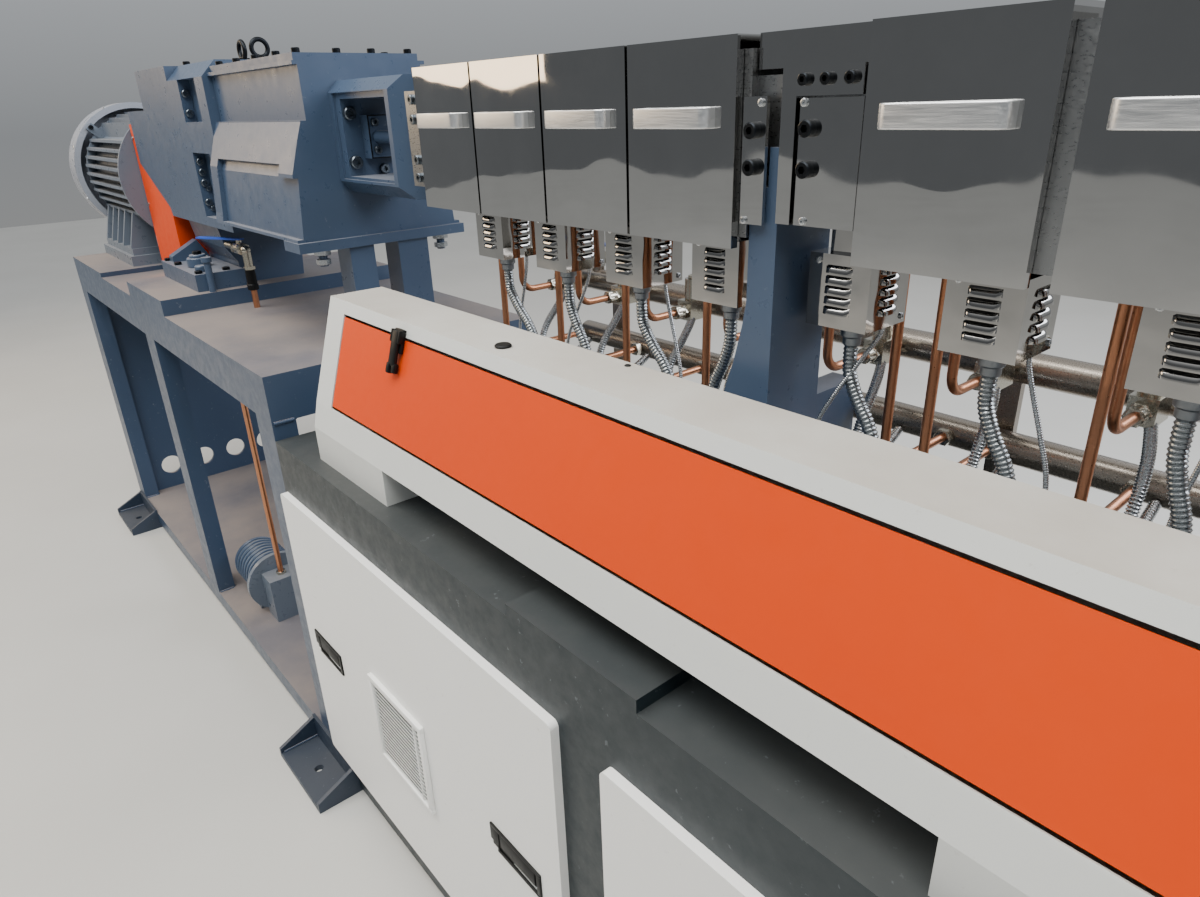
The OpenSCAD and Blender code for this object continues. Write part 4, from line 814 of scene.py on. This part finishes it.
# The one saturated blue, slightly waxy.
blue_vinyl = enamel("blue_vinyl_dip", "#2348a6", "#2f58bd", 0.42, peel=0.002)
dress(copper, "oil_pipes", "water_tubes")
dress(nickel, "manifold_valves", "oil_valve")
dress(tarnished, "water_manifolds")
dress(blue_vinyl, "oil_valve_lever", "water_valve_lever")
hose_x, oil_y = -610, -112
fix("valve_nuts", heads_tree("valve_union_nuts", 6, 0.62, 0.03, nickel),
    [(-673, oil_y, 1170, LEFT, 18), (-637, oil_y, 1170, RIGHT, 18), (hose_x, oil_y, 1128, DOWN, 15),
     (-627, -195, 206, UP, 15)], slot="brass")
# A short black hose with a thicker crimped end takes the oil down to the pipe in the deck.
tail = bmesh.new()
drum(tail, (hose_x, oil_y, 1122), (hose_x, oil_y, 1078), 12.5, 1.5)
drum(tail, (hose_x, oil_y, 1082), (hose_x, oil_y, 1066), 14.5, 2.0)
piece("oil_hose_tail", tail, black_nylon)

# Oil filter and pump. The filter block on the deck has two turned caps, the larger one stepped; the
# pump's motor on the shelf has seven cooling rings and an end cap. Both are cast and painted, and
# hexagon bolts hold them.
dress(cast_enamel, "oil_filter")
dress(motor_enamel, "oil_pump")
block_top, pump_y, pump_z = 1106, -195, 162
caps = bmesh.new()
for x, y, z, r, h in ((-860, -170, block_top, 30, 26), (-860, -170, 1131, 22, 9),
                      (-772, -190, block_top, 16, 16)):
    drum(caps, (x, y, z), (x, y, z + h), r, 2.2)
ring_pitch = 20
for k in range(7):
    x = -846 + ring_pitch * k
    drum(caps, (x, pump_y, pump_z), (x + 7, pump_y, pump_z), 75, 2.0, 40)
drum(caps, (-856, pump_y, pump_z), (-849, pump_y, pump_z), 73, 3.0, 40)
piece("filter_caps", caps, cast_enamel)
fix("filter_bolts", hexagon_bolts,
    [(x, y, block_top, UP, 10.5) for x in (-1044, -940, -742) for y in (-206, -134)]
    + [(-860, -170, 1140, UP, 12)])
fix("pump_bolts", hexagon_bolts, bolt_circle(-680, pump_y, pump_z, 81, LEFT, 8, 30, 6)
    + [(x, y, 82, UP, 8) for x in (-806, -714) for y in (-242, -148)])

# Bellows hoses. Thin stainless hoses with a 4 mm pitch join each valve to the lower manifold in
# a loose U, and keep the tubes free to move as the barrels warm up.
by_pillar = (4, 9)
tube_places = [c - (45 if k in by_pillar else 60) for k, c in enumerate(centres)]
bend_of_hose = ((10, 190, 1156), (16, 176, 1146), (25, 150, 1128), (31, 122, 1104), (32, 108, 1076),
                (30, 112, 1046), (27, 134, 1028), (25, 172, 1024), (24, 212, 1036), (24, 236, 1048))
hoses = [[(x + dx, y, z) for dx, y, z in bend_of_hose] for x in tube_places]
lay("bellows_hoses", tube_tree("bellows_hose", braid), hoses, slot="satin_steel",
    Radius=0.0062, Ring_pitch=0.004, Ring_depth=0.14, Step=0.001)

# Compression nuts. Plated brass hexagons clamp each copper tube to its valve and to the lower
# manifold, and a small one tops each valve. By a pillar the lower tube enters on the other side.
low_places = [x + (94 if k in by_pillar else 0) for k, x in enumerate(tube_places)]
brass_nuts = heads_tree("brass_compression_nuts", 6, 0.9, 0.03, nickel)
fix("tube_nuts", brass_nuts, [(x, 184, 1170, FRONT, 13) for x in tube_places]
    + [(x, 166, 1170, FRONT, 11.5) for x in tube_places] + [(x, 233, 1058, FRONT, 12.5) for x in low_places]
    + [(x, 201, 1221, UP, 8) for x in tube_places], slot="brass")
